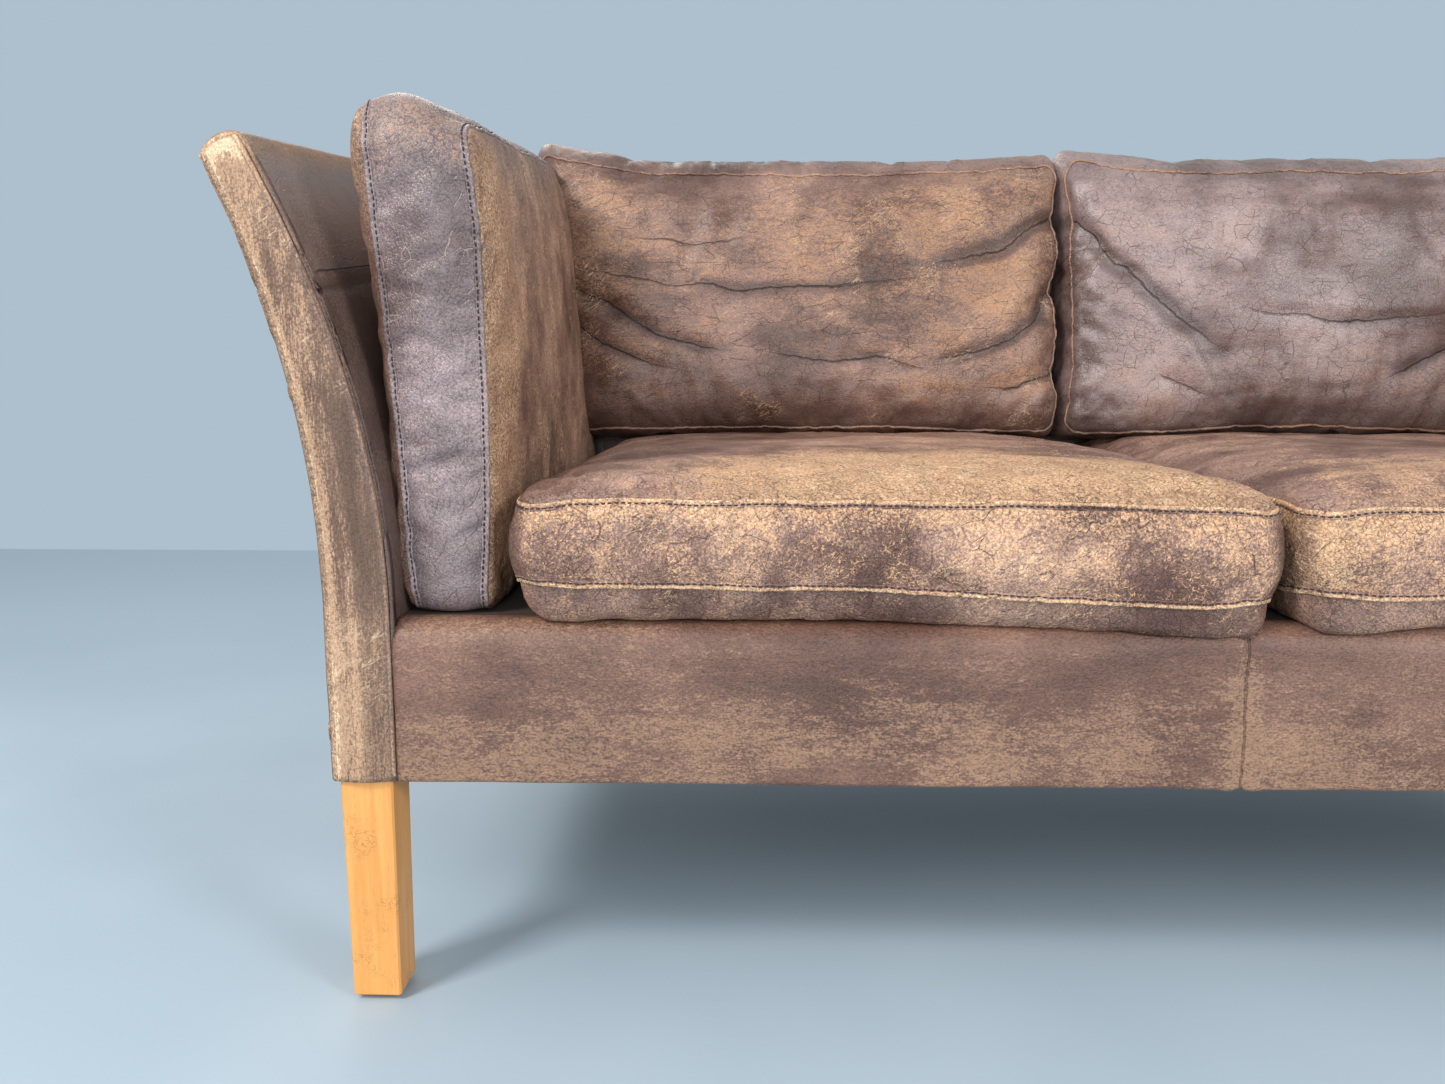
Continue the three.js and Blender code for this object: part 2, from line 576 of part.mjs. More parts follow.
function addWebbing(across) {
  const y = [RAIL_BACK - REBATE_DEPTH + GAP, BACK_FRONT - GAP];
  const z = [WEBBING_BOTTOM, WEBBING_BOTTOM + WEBBING_THICKNESS];
  const room = across[1] - RAIL_THICKNESS - RAIL_THICKNESS / 2;
  const pitch = room / WEBBING_STRAPS;
  for (const [side, name] of [[-1, 'left'], [1, 'right']]) {
    for (let i = 0; i < WEBBING_STRAPS; i += 1) {
      const middle = side * (RAIL_THICKNESS / 2 + pitch * (i + 0.5));
      const x = [middle - WEBBING_WIDTH / 2, middle + WEBBING_WIDTH / 2];
      addPiece(`webbing_${name}_${i + 1}`, block(x, y, z), 'webbing');
    }
  }
}

// Cushions

// Half-sizes and seams of a stuffed cushion: two crowned panels joined by a border that swells, with a
// raised lip along both seams. Local axes are across, along and through; place puts a point into the
// sofa. grow makes the whole cushion larger, for cutting its neighbours.
function cushionSolid({ across, along, border, under, over, swell, corner, place }, grow = 0) {
  const cornerSteps = 4;
  const sideSteps = 5;
  // A rounded rectangle, starting in the middle of a side. Opposite points are half a turn apart.
  const outline = (shrink, out) => {
    const half = [(across / 2) * (1 - shrink) + out, (along / 2) * (1 - shrink) + out];
    const radius = Math.min(corner * (1 - shrink) + out, half[0], half[1]);
    const points = [];
    for (let quarter = 0; quarter < 4; quarter += 1) {
      const turn = (quarter * Math.PI) / 2;
      const [near, far] = quarter % 2 ? [half[1], half[0]] : [half[0], half[1]];
      for (let i = 1 - sideSteps; i < sideSteps; i += 2) {
        const slide = ((far - radius) * i) / sideSteps;
        points.push([
          near * Math.cos(turn) - slide * Math.sin(turn),
          near * Math.sin(turn) + slide * Math.cos(turn),
        ]);
      }
      for (let i = 0; i <= cornerSteps; i += 1) {
        const angle = turn + (Math.PI / 2) * (i / cornerSteps);
        const [x, y] = [near - radius, far - radius];
        points.push([
          x * Math.cos(turn) - y * Math.sin(turn) + radius * Math.cos(angle),
          x * Math.sin(turn) + y * Math.cos(turn) + radius * Math.sin(angle),
        ]);
      }
    }
    return points;
  };
  const ring = (shrink, out, through) => outline(shrink, out + grow).map(([a, b]) => place(a, b, through));
  // A panel rises steeply at its seams and less towards its corners.
  const slack = (at, size) => 1 - Math.min(1, Math.abs((2 * at) / size)) ** PANEL_FULLNESS;
  const dome = (a, b) => (slack(a, across) * slack(b, along)) ** PANEL_STEEPNESS;
  const panel = (way, crown) => [0.03, 0.1, 0.22, 0.4, 0.65].map((share) => {
    return outline(share, grow).map(([a, b]) => place(a, b, way * (border / 2 + crown * dome(a, b) + grow)));
  });
  const lip = (way) => [ring(0, SEAM_LIP, way * (border / 2 + grow))];
  const bulge = [-0.34, 0, 0.34].map((share) => ring(0, swell * (1 - (2 * share) ** 2), share * border));
  return toSolid(skin([
    [place(0, 0, -border / 2 - under - grow)],
    ...panel(-1, under).toReversed(),
    ...lip(-1),
    ...bulge,
    ...lip(1),
    ...panel(1, over),
    [place(0, 0, border / 2 + over + grow)],
  ]));
}

// How much the stuffing lifts a cushion's border along its top, most in the middle of the border.
function headRise(rise, share, through, border) {
  const nearTop = Math.max(0, share - 0.75) * 4;
  return rise * nearTop ** 2 * Math.max(0, 1 - ((2 * through) / border) ** 2);
}

// The seat cushions lie on the deck and reach from the overhang to the back.
function seatCushion(side) {
  const width = side < 0 ? SEAT_CUSHION_WIDTH : armCushionInnerX() - SEAT_SPLIT - 3 * GAP;
  const middle = SEAT_SPLIT + side * (width / 2 + GAP / 2);
  const depth = BACK_FRONT - GAP + SEAT_OVERHANG;
  const seam = DECK_HEIGHT + SEAT_SEAM_HEIGHT;
  return {
    across: width - 2 * SEAT_SWELL,
    along: depth - 2 * SEAT_SWELL,
    border: SEAT_BORDER,
    under: SEAT_SEAM_HEIGHT + SEAT_PRESS,
    over: SEAT_CROWN,
    swell: SEAT_SWELL,
    corner: SEAT_CORNER,
    place: (a, b, c) => [middle + a, depth / 2 - SEAT_OVERHANG + b, seam + SEAT_BORDER / 2 + c],
  };
}

function armCushionMiddle() {
  return HALF_SEAT - ARM_CUSHION_OFFSET;
}

function armCushionInnerX() {
  return armCushionMiddle() - ARM_CUSHION_BORDER / 2 - ARM_CUSHION_INNER_CROWN;
}

// The arm cushions stand on the deck beside the arms, and their tops run parallel to the arms' tops.
function armCushion(side) {
  const front = ARM_CUSHION_SETBACK;
  const rear = BACK_FRONT - GAP;
  const slope = (BACK_HEIGHT - ARM_HEIGHT) / armRear(BACK_HEIGHT);
  const bottom = DECK_HEIGHT;
  const height = ARM_HEIGHT + ARM_CUSHION_RISE - bottom - ARM_CUSHION_SWELL;
  return {
    across: rear - front - 2 * ARM_CUSHION_SWELL,
    along: height - ARM_CUSHION_SWELL,
    border: ARM_CUSHION_BORDER,
    under: ARM_CUSHION_INNER_CROWN,
    over: ARM_CUSHION_OUTER_CROWN,
    swell: ARM_CUSHION_SWELL,
    corner: ARM_CUSHION_CORNER,
    place: (a, b, c) => {
      const share = Math.max(0, b / height + 0.5);
      const y = (front + rear) / 2 + a;
      const pushed = (ARM_CUSHION_PUSHED * share * (y - front)) / (rear - front);
      const lean = ARM_CUSHION_LEAN * share ** 2 + pushed;
      const head = headRise(ARM_CUSHION_HEAD, share, c, ARM_CUSHION_BORDER);
      const z = bottom + height / 2 + b + head + slope * (y - front) * share;
      return [side * (armCushionMiddle() + lean + c), y, z];
    },
  };
}

// The back cushions stand on the seat cushions and lean against the back.
function backCushion(side) {
  const tilt = THREE.MathUtils.degToRad(BACK_CUSHION_TILT);
  const width = BACK_CUSHION_FOOT;
  const height = BACK_CUSHION_HEIGHT;
  const standing = DECK_HEIGHT + SEAT_SEAM_HEIGHT + SEAT_BORDER + BACK_CUSHION_REST;
  const through = BACK_CUSHION_THICKNESS;
  const footY = BACK_FRONT - through / 2 - BACK_CUSHION_STANDOFF;
  return {
    across: width - 2 * BACK_CUSHION_SWELL,
    along: height - 2 * BACK_CUSHION_SWELL,
    border: through,
    under: BACK_CUSHION_FRONT_CROWN,
    over: BACK_CUSHION_REAR_CROWN,
    swell: BACK_CUSHION_SWELL,
    corner: BACK_CUSHION_CORNER,
    place: (a, b, c) => {
      const share = b / height + 0.5;
      const fromMiddle = (a + width / 2) / width;
      const x = GAP / 2 + width / 2 + a + BACK_CUSHION_SPREAD * share * fromMiddle;
      const head = headRise(BACK_CUSHION_HEAD, share, c, through);
      const up = (b + head + height / 2) * Math.cos(tilt) - c * Math.sin(tilt);
      const back = (b + head + height / 2) * Math.sin(tilt) + c * Math.cos(tilt);
      return [side * x, footY + back, standing + up];
    },
  };
}

// Cushions take their final form where they press on what carries them: each is cut by its neighbours,
// drawn larger by the gap.
function addCushions() {
  const deep = [-BODY_DEPTH, 2 * BODY_DEPTH];
  const floor = toSolid(block([-HALF_LENGTH, HALF_LENGTH], deep, [0, DECK_HEIGHT + GAP]));
  const arms = armCutter(GAP);
  const back = toSolid(backBody(-GAP, { rise: OVERRUN }));
  const middle = toSolid(block([-GAP / 2, GAP / 2], deep, [0, 2 * BACK_HEIGHT]));
  const sides = [[-1, 'left'], [1, 'right']];
  const armForms = sides.map(([side]) => armCushion(side));
  const seatForms = sides.map(([side]) => seatCushion(side));
  const backForms = sides.map(([side]) => backCushion(side));
  const grown = (forms) => cushionSolid(forms[0], GAP).add(cushionSolid(forms[1], GAP));
  const [grownSeats, grownBacks] = [grown(seatForms), grown(backForms)];
  sides.forEach(([side, name], i) => {
    const seat = cushionSolid(seatForms[i]).subtract(floor).subtract(back);
    addPiece(`seat_cushion_${name}`, toGeometry(seat), 'leather');
    const rest = cushionSolid(backForms[i]).subtract(back).subtract(middle).subtract(grownSeats);
    addPiece(`back_cushion_${name}`, toGeometry(rest), 'leather');
    const arm = cushionSolid(armForms[i]).subtract(floor).subtract(arms).subtract(back);
    addPiece(`arm_cushion_${name}`, toGeometry(arm.subtract(grownSeats).subtract(grownBacks)), 'leather');
  });
}

addArm(-1);
addArm(1);
addBack();
addSeatFrame();
addLegs();
addCushions();

// The origin is on the floor, under the middle of the sofa's box.
const box = new THREE.Box3().setFromObject(sofa, true);
sofa.position.y = -(box.min.y + box.max.y) / 2;

export default sofa;
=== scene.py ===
# %% [markdown]
# A worn leather sofa, dressed in cells.
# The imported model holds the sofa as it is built: frame, legs, leather shells and six plain cushions.
# This script loads it as a fixed frame and gives it its looks. The leather is made again as finer surfaces
# in the same places, because folds, seams and stitches need far more points than a frame does. The wood,
# the glides and the fittings keep their meshes, and only get materials.
# All shapes below are worked out in millimetres, and turned into metres when they go into a mesh.

# %% Tools and the frame
import json
import time

import bpy
import numpy as np
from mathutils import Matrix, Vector


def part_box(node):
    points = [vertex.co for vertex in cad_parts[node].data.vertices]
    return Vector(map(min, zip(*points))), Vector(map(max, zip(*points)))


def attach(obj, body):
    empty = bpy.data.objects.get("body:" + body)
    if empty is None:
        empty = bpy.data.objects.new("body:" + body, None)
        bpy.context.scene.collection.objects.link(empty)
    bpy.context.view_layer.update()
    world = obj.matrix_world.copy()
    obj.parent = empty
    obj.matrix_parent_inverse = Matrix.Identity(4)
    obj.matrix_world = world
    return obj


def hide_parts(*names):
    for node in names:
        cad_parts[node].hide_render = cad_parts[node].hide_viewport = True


started = time.perf_counter()
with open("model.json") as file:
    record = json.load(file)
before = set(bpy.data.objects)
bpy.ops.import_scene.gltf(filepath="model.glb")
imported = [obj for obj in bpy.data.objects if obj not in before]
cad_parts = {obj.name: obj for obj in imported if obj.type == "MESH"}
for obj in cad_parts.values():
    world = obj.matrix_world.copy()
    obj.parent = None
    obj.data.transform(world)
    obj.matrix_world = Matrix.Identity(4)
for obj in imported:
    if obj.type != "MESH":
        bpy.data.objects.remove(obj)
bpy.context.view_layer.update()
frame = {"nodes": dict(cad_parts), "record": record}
MM = 0.001
NO_CREASE = 50.0  # the distance to a crease, in millimetres, where a piece has none near


def box(node):
    """Lowest and highest corner of a node of the frame, in millimetres."""
    low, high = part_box(node)
    return np.array(low) / MM, np.array(high) / MM


front = box("arm_cover_left")[0][1]  # the plane of the arms' fronts
body_bottom = box("arm_cover_left")[0][2]
deck_height = box("seat_deck")[1][2]
half_seat = box("seat_deck")[1][0]

# %% [markdown]
# The camera.
# The photograph was taken with a wide lens from close by, left of the middle, at seat height. A camera is
# fitted to straight edges of the object, here the rail, the leg and the arm's border, and then kept.

# %% Camera
CAMERA_PLACE = (-376.4, -1191.7, 503.9)
CAMERA_PITCH = 81.43  # degrees up from straight down
CAMERA_YAW = 1.6  # degrees to the left
LENS = 27.03  # millimetres on a sensor 36 mm wide

camera_data = bpy.data.cameras.new("camera")
camera_data.lens = LENS
camera_data.sensor_width = 36
camera_data.clip_start = 0.05
camera = bpy.data.objects.new("camera", camera_data)
camera.location = [value * MM for value in CAMERA_PLACE]
camera.rotation_euler = [np.radians(CAMERA_PITCH), 0, np.radians(CAMERA_YAW)]
bpy.context.scene.collection.objects.link(camera)
bpy.context.scene.camera = camera
print("camera at", CAMERA_PLACE)

# %% [markdown]
# Meshes from arrays.
# Each surface below is a grid of points, worked out for the whole grid at once. A grid needs only its
# points and the four corners of each face, and these helpers turn such arrays into a Blender mesh. The last
# one gives the numbers at each point that a leather finish reads.

# %% Grids and meshes


def grid_faces(rows, columns, closed=False):
    """The faces of a grid whose points are stored row by row. closed joins its last column to its first."""
    row = np.arange(rows - 1)[:, None]
    column = np.arange(columns if closed else columns - 1)[None, :]
    after = (column + 1) % columns
    corners = [row * columns + column, row * columns + after]
    corners += [(row + 1) * columns + after, (row + 1) * columns + column]
    return np.stack(corners, -1).reshape(-1, 4)


def outwards(points, faces):
    """The faces, all turned round where the volume that they enclose would be negative."""
    a, b, c, d = (points[faces[:, i]] for i in range(4))
    middle = points.mean(0)
    volume = np.einsum("ij,ij->", a - middle, np.cross(b - middle, c - middle))
    volume += np.einsum("ij,ij->", a - middle, np.cross(c - middle, d - middle))
    return faces if volume > 0 else faces[:, ::-1]


def surface_normals(points, faces):
    """Unit normals: each point's is the sum of those of the faces round it."""
    a, b, c, d = (points[faces[:, i]] for i in range(4))
    across = np.cross(c - a, d - b)
    total = np.zeros_like(points)
    for i in range(4):
        np.add.at(total, faces[:, i], across)
    return total / np.maximum(np.linalg.norm(total, axis=1, keepdims=True), 1e-9)


def make_mesh(name, points, faces, attributes=None):
    """A smooth mesh of four-sided faces, with a number at each point for every attribute."""
    mesh = bpy.data.meshes.new(name)
    mesh.vertices.add(len(points))
    mesh.vertices.foreach_set("co", (points * MM).astype(np.float32).ravel())
    mesh.loops.add(faces.size)
    mesh.loops.foreach_set("vertex_index", faces.astype(np.int32).ravel())
    mesh.polygons.add(len(faces))
    mesh.polygons.foreach_set("loop_start", np.arange(0, faces.size, 4, dtype=np.int32))
    mesh.update(calc_edges=True)
    mesh.polygons.foreach_set("use_smooth", np.ones(len(faces), dtype=bool))
    for key, values in (attributes or {}).items():
        layer = mesh.attributes.new(key, "FLOAT", "POINT")
        layer.data.foreach_set("value", values.astype(np.float32))
    return mesh


def make_piece(name, points, faces, attributes=None, replaces=()):
    """A mesh in the scene that rides on the sofa's one body."""
    piece = bpy.data.objects.new(name, make_mesh(name, points, faces, attributes))
    bpy.context.scene.collection.objects.link(piece)
    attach(piece, "root")
    if replaces:
        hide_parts(*replaces)
    return piece


def worn_marks(wear, painted_shade=0.0):
    """The numbers at each point that a leather finish reads, for a piece without large creases. The last
    number is the painted shade.
    """
    none = 0 * wear
    wear = np.clip(wear, 0, 1.2)
    return {"wear": wear, "crease": none + NO_CREASE, "strength": none, "painted_shade": none + painted_shade}


print("a grid of 3 by 4 points:", len(grid_faces(3, 4)), "faces, or closed", len(grid_faces(3, 4, True)))

# %% [markdown]
# Random waves.
# Leather is never even. The same kind of smooth random number, from 0 to 1, is used for waves in a
# surface, for puckers at a seam and for where the colour has been rubbed off. It always gives the same
# value at the same place, so the sofa looks the same each time it is made.

# %% Noise


def noise(points, size, seed):
    """Random numbers at the corners of cubes of this size, mixed inside each cube with eased weights."""
    scaled = points / size
    corner = np.floor(scaled).astype(np.int64)
    share = scaled - corner
    share = share * share * (3 - 2 * share)
    total = np.zeros(len(points))
    for i in range(8):
        step = np.array([i & 1, i >> 1 & 1, i >> 2 & 1])
        key = (corner + step) * np.array([73856093, 19349663, 83492791])
        mixed = (key[:, 0] ^ key[:, 1] ^ key[:, 2] ^ (seed * 2654435761)) & 0xFFFFFFFF
        mixed = ((mixed ^ (mixed >> 15)) * 2246822519) & 0xFFFFFFFF
        mixed = ((mixed ^ (mixed >> 13)) * 3266489917) & 0xFFFFFFFF
        value = (mixed ^ (mixed >> 16)) / 0xFFFFFFFF
        total += value * np.prod(np.where(step, share, 1 - share), axis=1)
    return total


def cloud(points, size, seed, octaves=3):
    """Noise plus finer noise of half the strength, and so on; about 0 to 1, with its middle at 0.5."""
    layers = [noise(points, size / 2**k, seed + k) / 2**k for k in range(octaves)]
    return sum(layers) / sum(1 / 2**k for k in range(octaves))


def ease(low, high, values):
    """0 below low, 1 above high and a smooth rise between them. low may be the higher one."""
    share = np.clip((values - low) / (high - low), 0, 1)
    return share * share * (3 - 2 * share)


def flat(*columns):
    """Points from two or three lists of coordinates, with 0 for the third where it isn't given."""
    rows = list(np.broadcast_arrays(*columns))
    if len(rows) == 2:
        rows.append(np.zeros_like(rows[0]))
    return np.stack(rows, -1).astype(float)


print("noise at three places:", noise(flat(np.arange(3) * 5.0, np.zeros(3)), 8, 1).round(2))

# %% [markdown]
# Cushions.
# A boxed cushion is two panels sewn to a border that runs all round it. Its grid follows that cut: a
# panel is a square grid that is bent into a rectangle with round corners, and the border continues the
# outline's points. So each seam is a row of points, which later carries the lips and the stitches.

# %% The cushion's grid
CELL = 3.4  # millimetres between points


def rounded_side(half, radius, count):
    """A side of a rounded rectangle, from the middle of one corner to the middle of the next.

    Points lie at equal steps along the way: an eighth of a circle, the straight part and an eighth.
    """
    straight = half - radius
    bend = radius * np.pi / 4
    way = np.linspace(-straight - bend, straight + bend, count + 1)
    over = np.maximum(np.abs(way) - straight, 0) / radius
    along = np.sign(way) * (np.minimum(np.abs(way), straight) + radius * np.sin(over))
    return along, radius * (1 - np.cos(over))


def rounded_panel(half_a, half_b, radius, count_a, count_b):
    """A grid over a rounded rectangle: the four sides, and inside them their even mixture."""
    side_a, dip_a = rounded_side(half_a, radius, count_a)
    side_b, dip_b = rounded_side(half_b, radius, count_b)
    low = np.stack([side_a, dip_a - half_b], -1)
    high = np.stack([side_a, half_b - dip_a], -1)
    left = np.stack([dip_b - half_a, side_b], -1)
    right = np.stack([half_a - dip_b, side_b], -1)
    u = np.linspace(0, 1, count_a + 1)[None, :, None]
    v = np.linspace(0, 1, count_b + 1)[:, None, None]
    sides = (1 - v) * low[None] + v * high[None] + (1 - u) * left[:, None] + u * right[:, None]
    corners = (1 - u) * (1 - v) * low[0] + u * (1 - v) * low[-1] + (1 - u) * v * high[0] + u * v * high[-1]
    return sides - corners


def even_count(length):
    """An even number of cells, so that every second point can be left out later."""
    return 2 * int(round(length / CELL / 2))


def belt_faces(belts):
    """Faces between closed rows of points that lie one below the other."""
    after = np.roll(belts, -1, axis=1)
    return np.stack([belts[:-1], belts[1:], after[1:], after[:-1]], -1).reshape(-1, 4)


def cushion_grid(form):
    """Points in the cushion's own axes a, b and c, its faces, and the rows of points on its border.

    On the top panel c is 1, on the bottom panel -1, and on the border it runs between them in even steps.
    """
    count_a, count_b, rows = (even_count(form[key]) for key in ("a", "b", "border"))
    panel = rounded_panel(form["a"] / 2, form["b"] / 2, form["corner"], count_a, count_b)
    size = panel.shape[0] * panel.shape[1]
    index = np.arange(size).reshape(panel.shape[:2])
    ring = np.concatenate([index[0, :-1], index[:-1, -1], index[-1, :0:-1], index[:0:-1, 0]])
    panel = panel.reshape(-1, 2)
    outline = panel[ring]
    between = np.linspace(1, -1, rows + 1)[1:-1]
    border = np.concatenate([np.tile(outline, (rows - 1, 1)), np.repeat(between, len(ring))[:, None]], 1)
    top = np.concatenate([panel, np.ones((size, 1))], 1)
    bottom = np.concatenate([panel, -np.ones((size, 1))], 1)
    points = np.concatenate([top, bottom, border])
    inner_belts = 2 * size + np.arange((rows - 1) * len(ring)).reshape(rows - 1, -1)
    belts = np.concatenate([ring[None], inner_belts, ring[None] + size])
    faces = grid_faces(*index.shape)
    whole = np.concatenate([faces, faces[:, ::-1] + size, belt_faces(belts)])
    zone = np.zeros(len(points), int)
    zone[:size] = 1
    zone[size : 2 * size] = -1
    return {"local": points, "faces": whole, "panel": index, "belts": belts, "size": size, "zone": zone}


print("a side 600 mm long has", even_count(600), "cells")

# %% [markdown]
# The stuffed form.
# Stuffing lifts a panel steeply beside its seams and hardly any more in its middle, and it makes the border
# swell. A formula gives this form, and not a solver, because a cushion has to keep its size and its place.

# %% The stuffed form
CORNER_REACH = 34  # millimetres round a corner in which its two seams draw together


def to_seam(form, local):
    """How far each point of a panel is from its seam, which is a rectangle with round corners."""
    corner = form["corner"]
    a = np.abs(local[:, 0]) - form["a"] / 2 + corner
    b = np.abs(local[:, 1]) - form["b"] / 2 + corner
    outside = np.hypot(np.maximum(a, 0), np.maximum(b, 0))
    return np.maximum(corner - outside - np.minimum(np.maximum(a, b), 0), 0)


def to_corner(form, local):
    """How far each point is from the nearest corner of its cushion, seen along the axis c."""
    return np.hypot(form["a"] / 2 - np.abs(local[:, 0]), form["b"] / 2 - np.abs(local[:, 1]))


def quarter(share):
    """Rises from 0 to 1 like a quarter of a circle: steeply, then level."""
    return np.sqrt(1 - (1 - np.clip(share, 0, 1)) ** 2)


def dome(form, local, roll, steep):
    """How full a panel is: a steep roll beside its seams, and a broad crown over the rest."""
    a = np.abs(2 * local[:, 0] / form["a"])
    b = np.abs(2 * local[:, 1] / form["b"])
    distance = to_seam(form, local)
    broad = ((1 - np.minimum(1, a) ** 2.6) * (1 - np.minimum(1, b) ** 2.6)) ** 0.75
    return steep * quarter(distance / roll) + (1 - steep) * broad * np.minimum(1, distance / 20)


def cushion_points(form, grid, fill=1.0):
    """The stuffed cushion: panels that rise by their crowns, and a border that swells between its seams.

    The sides are pulled in a little between the corners, and the two seams draw together at a corner.
    """
    local, zone = grid["local"], grid["zone"]
    over = form["over"] * dome(form, local, *form["over_roll"])
    under = form["under"] * dome(form, local, *form["under_roll"])
    rise = fill * np.where(zone > 0, over, np.where(zone < 0, -under, 0))
    pinch = 1 - form["pinch"] * np.exp(-((to_corner(form, local) / CORNER_REACH) ** 2))
    c = local[:, 2] * form["border"] / 2 * pinch + rise
    swell = np.where(zone == 0, form["swell"] * fill * (1 - local[:, 2] ** 2), 0)
    swollen = 1 + swell / np.maximum(np.hypot(local[:, 0], local[:, 1]), 1)
    part_a, part_b = 2 * local[:, 0] / form["a"], 2 * local[:, 1] / form["b"]
    a = local[:, 0] * swollen - form["pull"] * part_a**3 * (1 - part_b**2)
    b = local[:, 1] * swollen - form["pull"] * part_b**3 * (1 - part_a**2)
    return form["place"](a, b, c)


print("a quarter of the way up a roll, a panel has", quarter(0.25).round(2), "of its height")

# %% [markdown]
# Where each cushion is.
# The seat cushions lie on the deck. The arm cushions stand beside the arms and lean with them, and the
# back cushions stand on the seat and tilt against the back. Each form gives a cushion's sizes and a
# function that puts a point of its own axes into the sofa.

# %% Forms of the cushions
SEAM_INSET = 4.5  # the outline of a cushion lies this far inside its box


def kind_of(name):
    """The first word of a name, which is seat, back or arm."""
    return name.split("_")[0]


def seat_form(node, seed):
    """A seat cushion, which has sunk towards the parting in the middle of the sofa."""
    low, high = box(node)
    middle = (low + high) / 2
    side = np.sign(middle[0])
    width, depth = high[0] - low[0] - 2 * SEAM_INSET, high[1] - low[1] - 2 * SEAM_INSET
    seam = deck_height + 28  # height of the lower seam
    border = 68

    def place(a, b, c):
        # The cushion sinks towards the parting and the front, its top more than its bottom.
        inner = ease(-0.1, 0.5, -side * a / width) * ease(0.6, -0.5, b / depth)
        sag = inner * (8.5 - 11 * c / border if side < 0 else 5.5 - 3 * c / border)
        apart = 9 * (side > 0) * ease(0.3, 0.5, -side * a / width)
        return flat(middle[0] + a + apart, middle[1] + b, seam + border / 2 + c - sag)

    return {"node": node, "a": width, "b": depth, "border": border, "over": 27, "under": 35, "swell": 8,
            "corner": 24, "over_roll": (70, 0.5), "under_roll": (26, 0.96), "pinch": 0.15, "pull": 3,
            "gather": 2.2, "place": place, "seed": seed, "side": side}


def arm_form(node, seed):
    """An arm cushion: its own axes run to the rear, upwards and outwards. Its top bends outwards."""
    low, high = box(node)
    side = np.sign(low[0] + high[0])
    rear = high[1]
    start = low[1]
    height = 379.0
    half_border = 34.0
    middle = half_seat - 38.7  # of its foot, across the sofa

    def place(a, b, c):
        # share is 0 at the foot and 1 at the top. The cushion gets thicker, and its top bulges up.
        share = np.maximum(0, b / height + 0.5)
        y = (start + rear) / 2 + a
        lean = 27 * share**2 + 38 * share * (y - start) / (rear - start)
        near_top = np.maximum(0, share - 0.75) * 4
        c = half_border - (half_border - c) * (0.93 + 0.36 * share)
        head = 20 * near_top**2 * ease(-1.6, 0.15, c / half_border)
        foot = 8 * ease(0.16, 0, share) * ease(start + 70, start, y)
        z = deck_height + height / 2 + b + head - foot + 0.1276 * (y - start) * share
        return flat(side * (middle + lean + c), y, z)

    return {"node": node, "a": rear - start - 2 * SEAM_INSET, "b": height - 7, "border": 2 * half_border,
            "over": 18, "under": 9, "swell": 7, "corner": 30, "over_roll": (34, 0.7),
            "under_roll": (44, 0.6), "pinch": 0.1, "pull": 3, "gather": 1.6, "place": place,
            "seed": seed, "side": side}


def back_form(node, seed):
    """A back cushion: its own axes run outwards, upwards and to the rear. It spreads towards its top."""
    low, high = box(node)
    side = np.sign(low[0] + high[0])
    width, height, through = 598.0, 324.0, 96.0
    tilt = np.radians(8)
    spread = 56.0  # how much wider the top is than the foot
    foot_y = box("back_cover")[0][1] - through / 2 - 16
    foot_z = 427

    def place(a, b, c):
        # share is 0 at the foot and 1 at the top, and outer is 0 at the parting and 1 beside the arm. The
        # top bulges up, and most at the upper corners.
        share = b / height + 0.5
        outer = (a + width / 2) / width
        x = width / 2 + a + spread * share * outer
        near_top = np.maximum(0, share - 0.75) * 4
        seen = side * (2 * outer - 1)
        lift = 10 + (20 if side < 0 else 8) * ease(-0.45, -1, seen) + 4 * ease(0.6, 1, seen)
        head = near_top**2 * (26 * np.maximum(0, 1 - (2 * c / through) ** 2) + lift)
        up = b + head + height / 2
        y = foot_y + up * np.sin(tilt) + c * np.cos(tilt)
        return flat(side * x, y, foot_z + up * np.cos(tilt) - c * np.sin(tilt))

    return {"node": node, "a": width - 10, "b": height - 12, "border": through, "over": 28, "under": 38,
            "swell": 9, "corner": 17, "over_roll": (60, 0.5), "under_roll": (62, 0.55), "pinch": 0.16,
            "pull": 7, "gather": 3.6, "place": place, "seed": seed, "side": side}


forms = {
    name: make(name, seed)
    for name, make, seed in [
        ("seat_cushion_left", seat_form, 11),
        ("seat_cushion_right", seat_form, 23),
        ("back_cushion_left", back_form, 37),
        ("back_cushion_right", back_form, 41),
        ("arm_cushion_left", arm_form, 53),
        ("arm_cushion_right", arm_form, 67),
    ]
}
grids = {name: cushion_grid(form) for name, form in forms.items()}
print("cushion points:", {name: len(grid["local"]) for name, grid in grids.items()})

# %% [markdown]
# Stuffing.
# A leather cover is a little larger than what it holds, so it wrinkles where it is sewn. Blender's cloth
# solver finds these wrinkles: the cover starts slack, its seams are held, air pressure fills it and the
# leather is a few percent too large. Only the wrinkles are taken from it, on every second point of the
# grid. The larger form stays the designed one, so that each cushion keeps to its place.

# %% Cloth simulation
SLACK_FILL = 0.9  # fullness of the start shape
FRAMES = 16
HELD = 0.9  # how firmly the seams are held
LARGEST_FOLD = 3.6
SMOOTHING = 40  # rounds of mixing that leave only the larger form
CLOTH = {
    "quality": 5,
    "mass": 0.4,
    "tension_stiffness": 25,
    "compression_stiffness": 25,
    "shear_stiffness": 8,
    "bending_stiffness": 1.2,
    "air_damping": 2,
    "use_pressure": True,
    "uniform_pressure_force": 4.0,
    "shrink_min": -0.02,  # the leather is two percent too large
    "vertex_group_mass": "held",
    "pin_stiffness": 1,
}


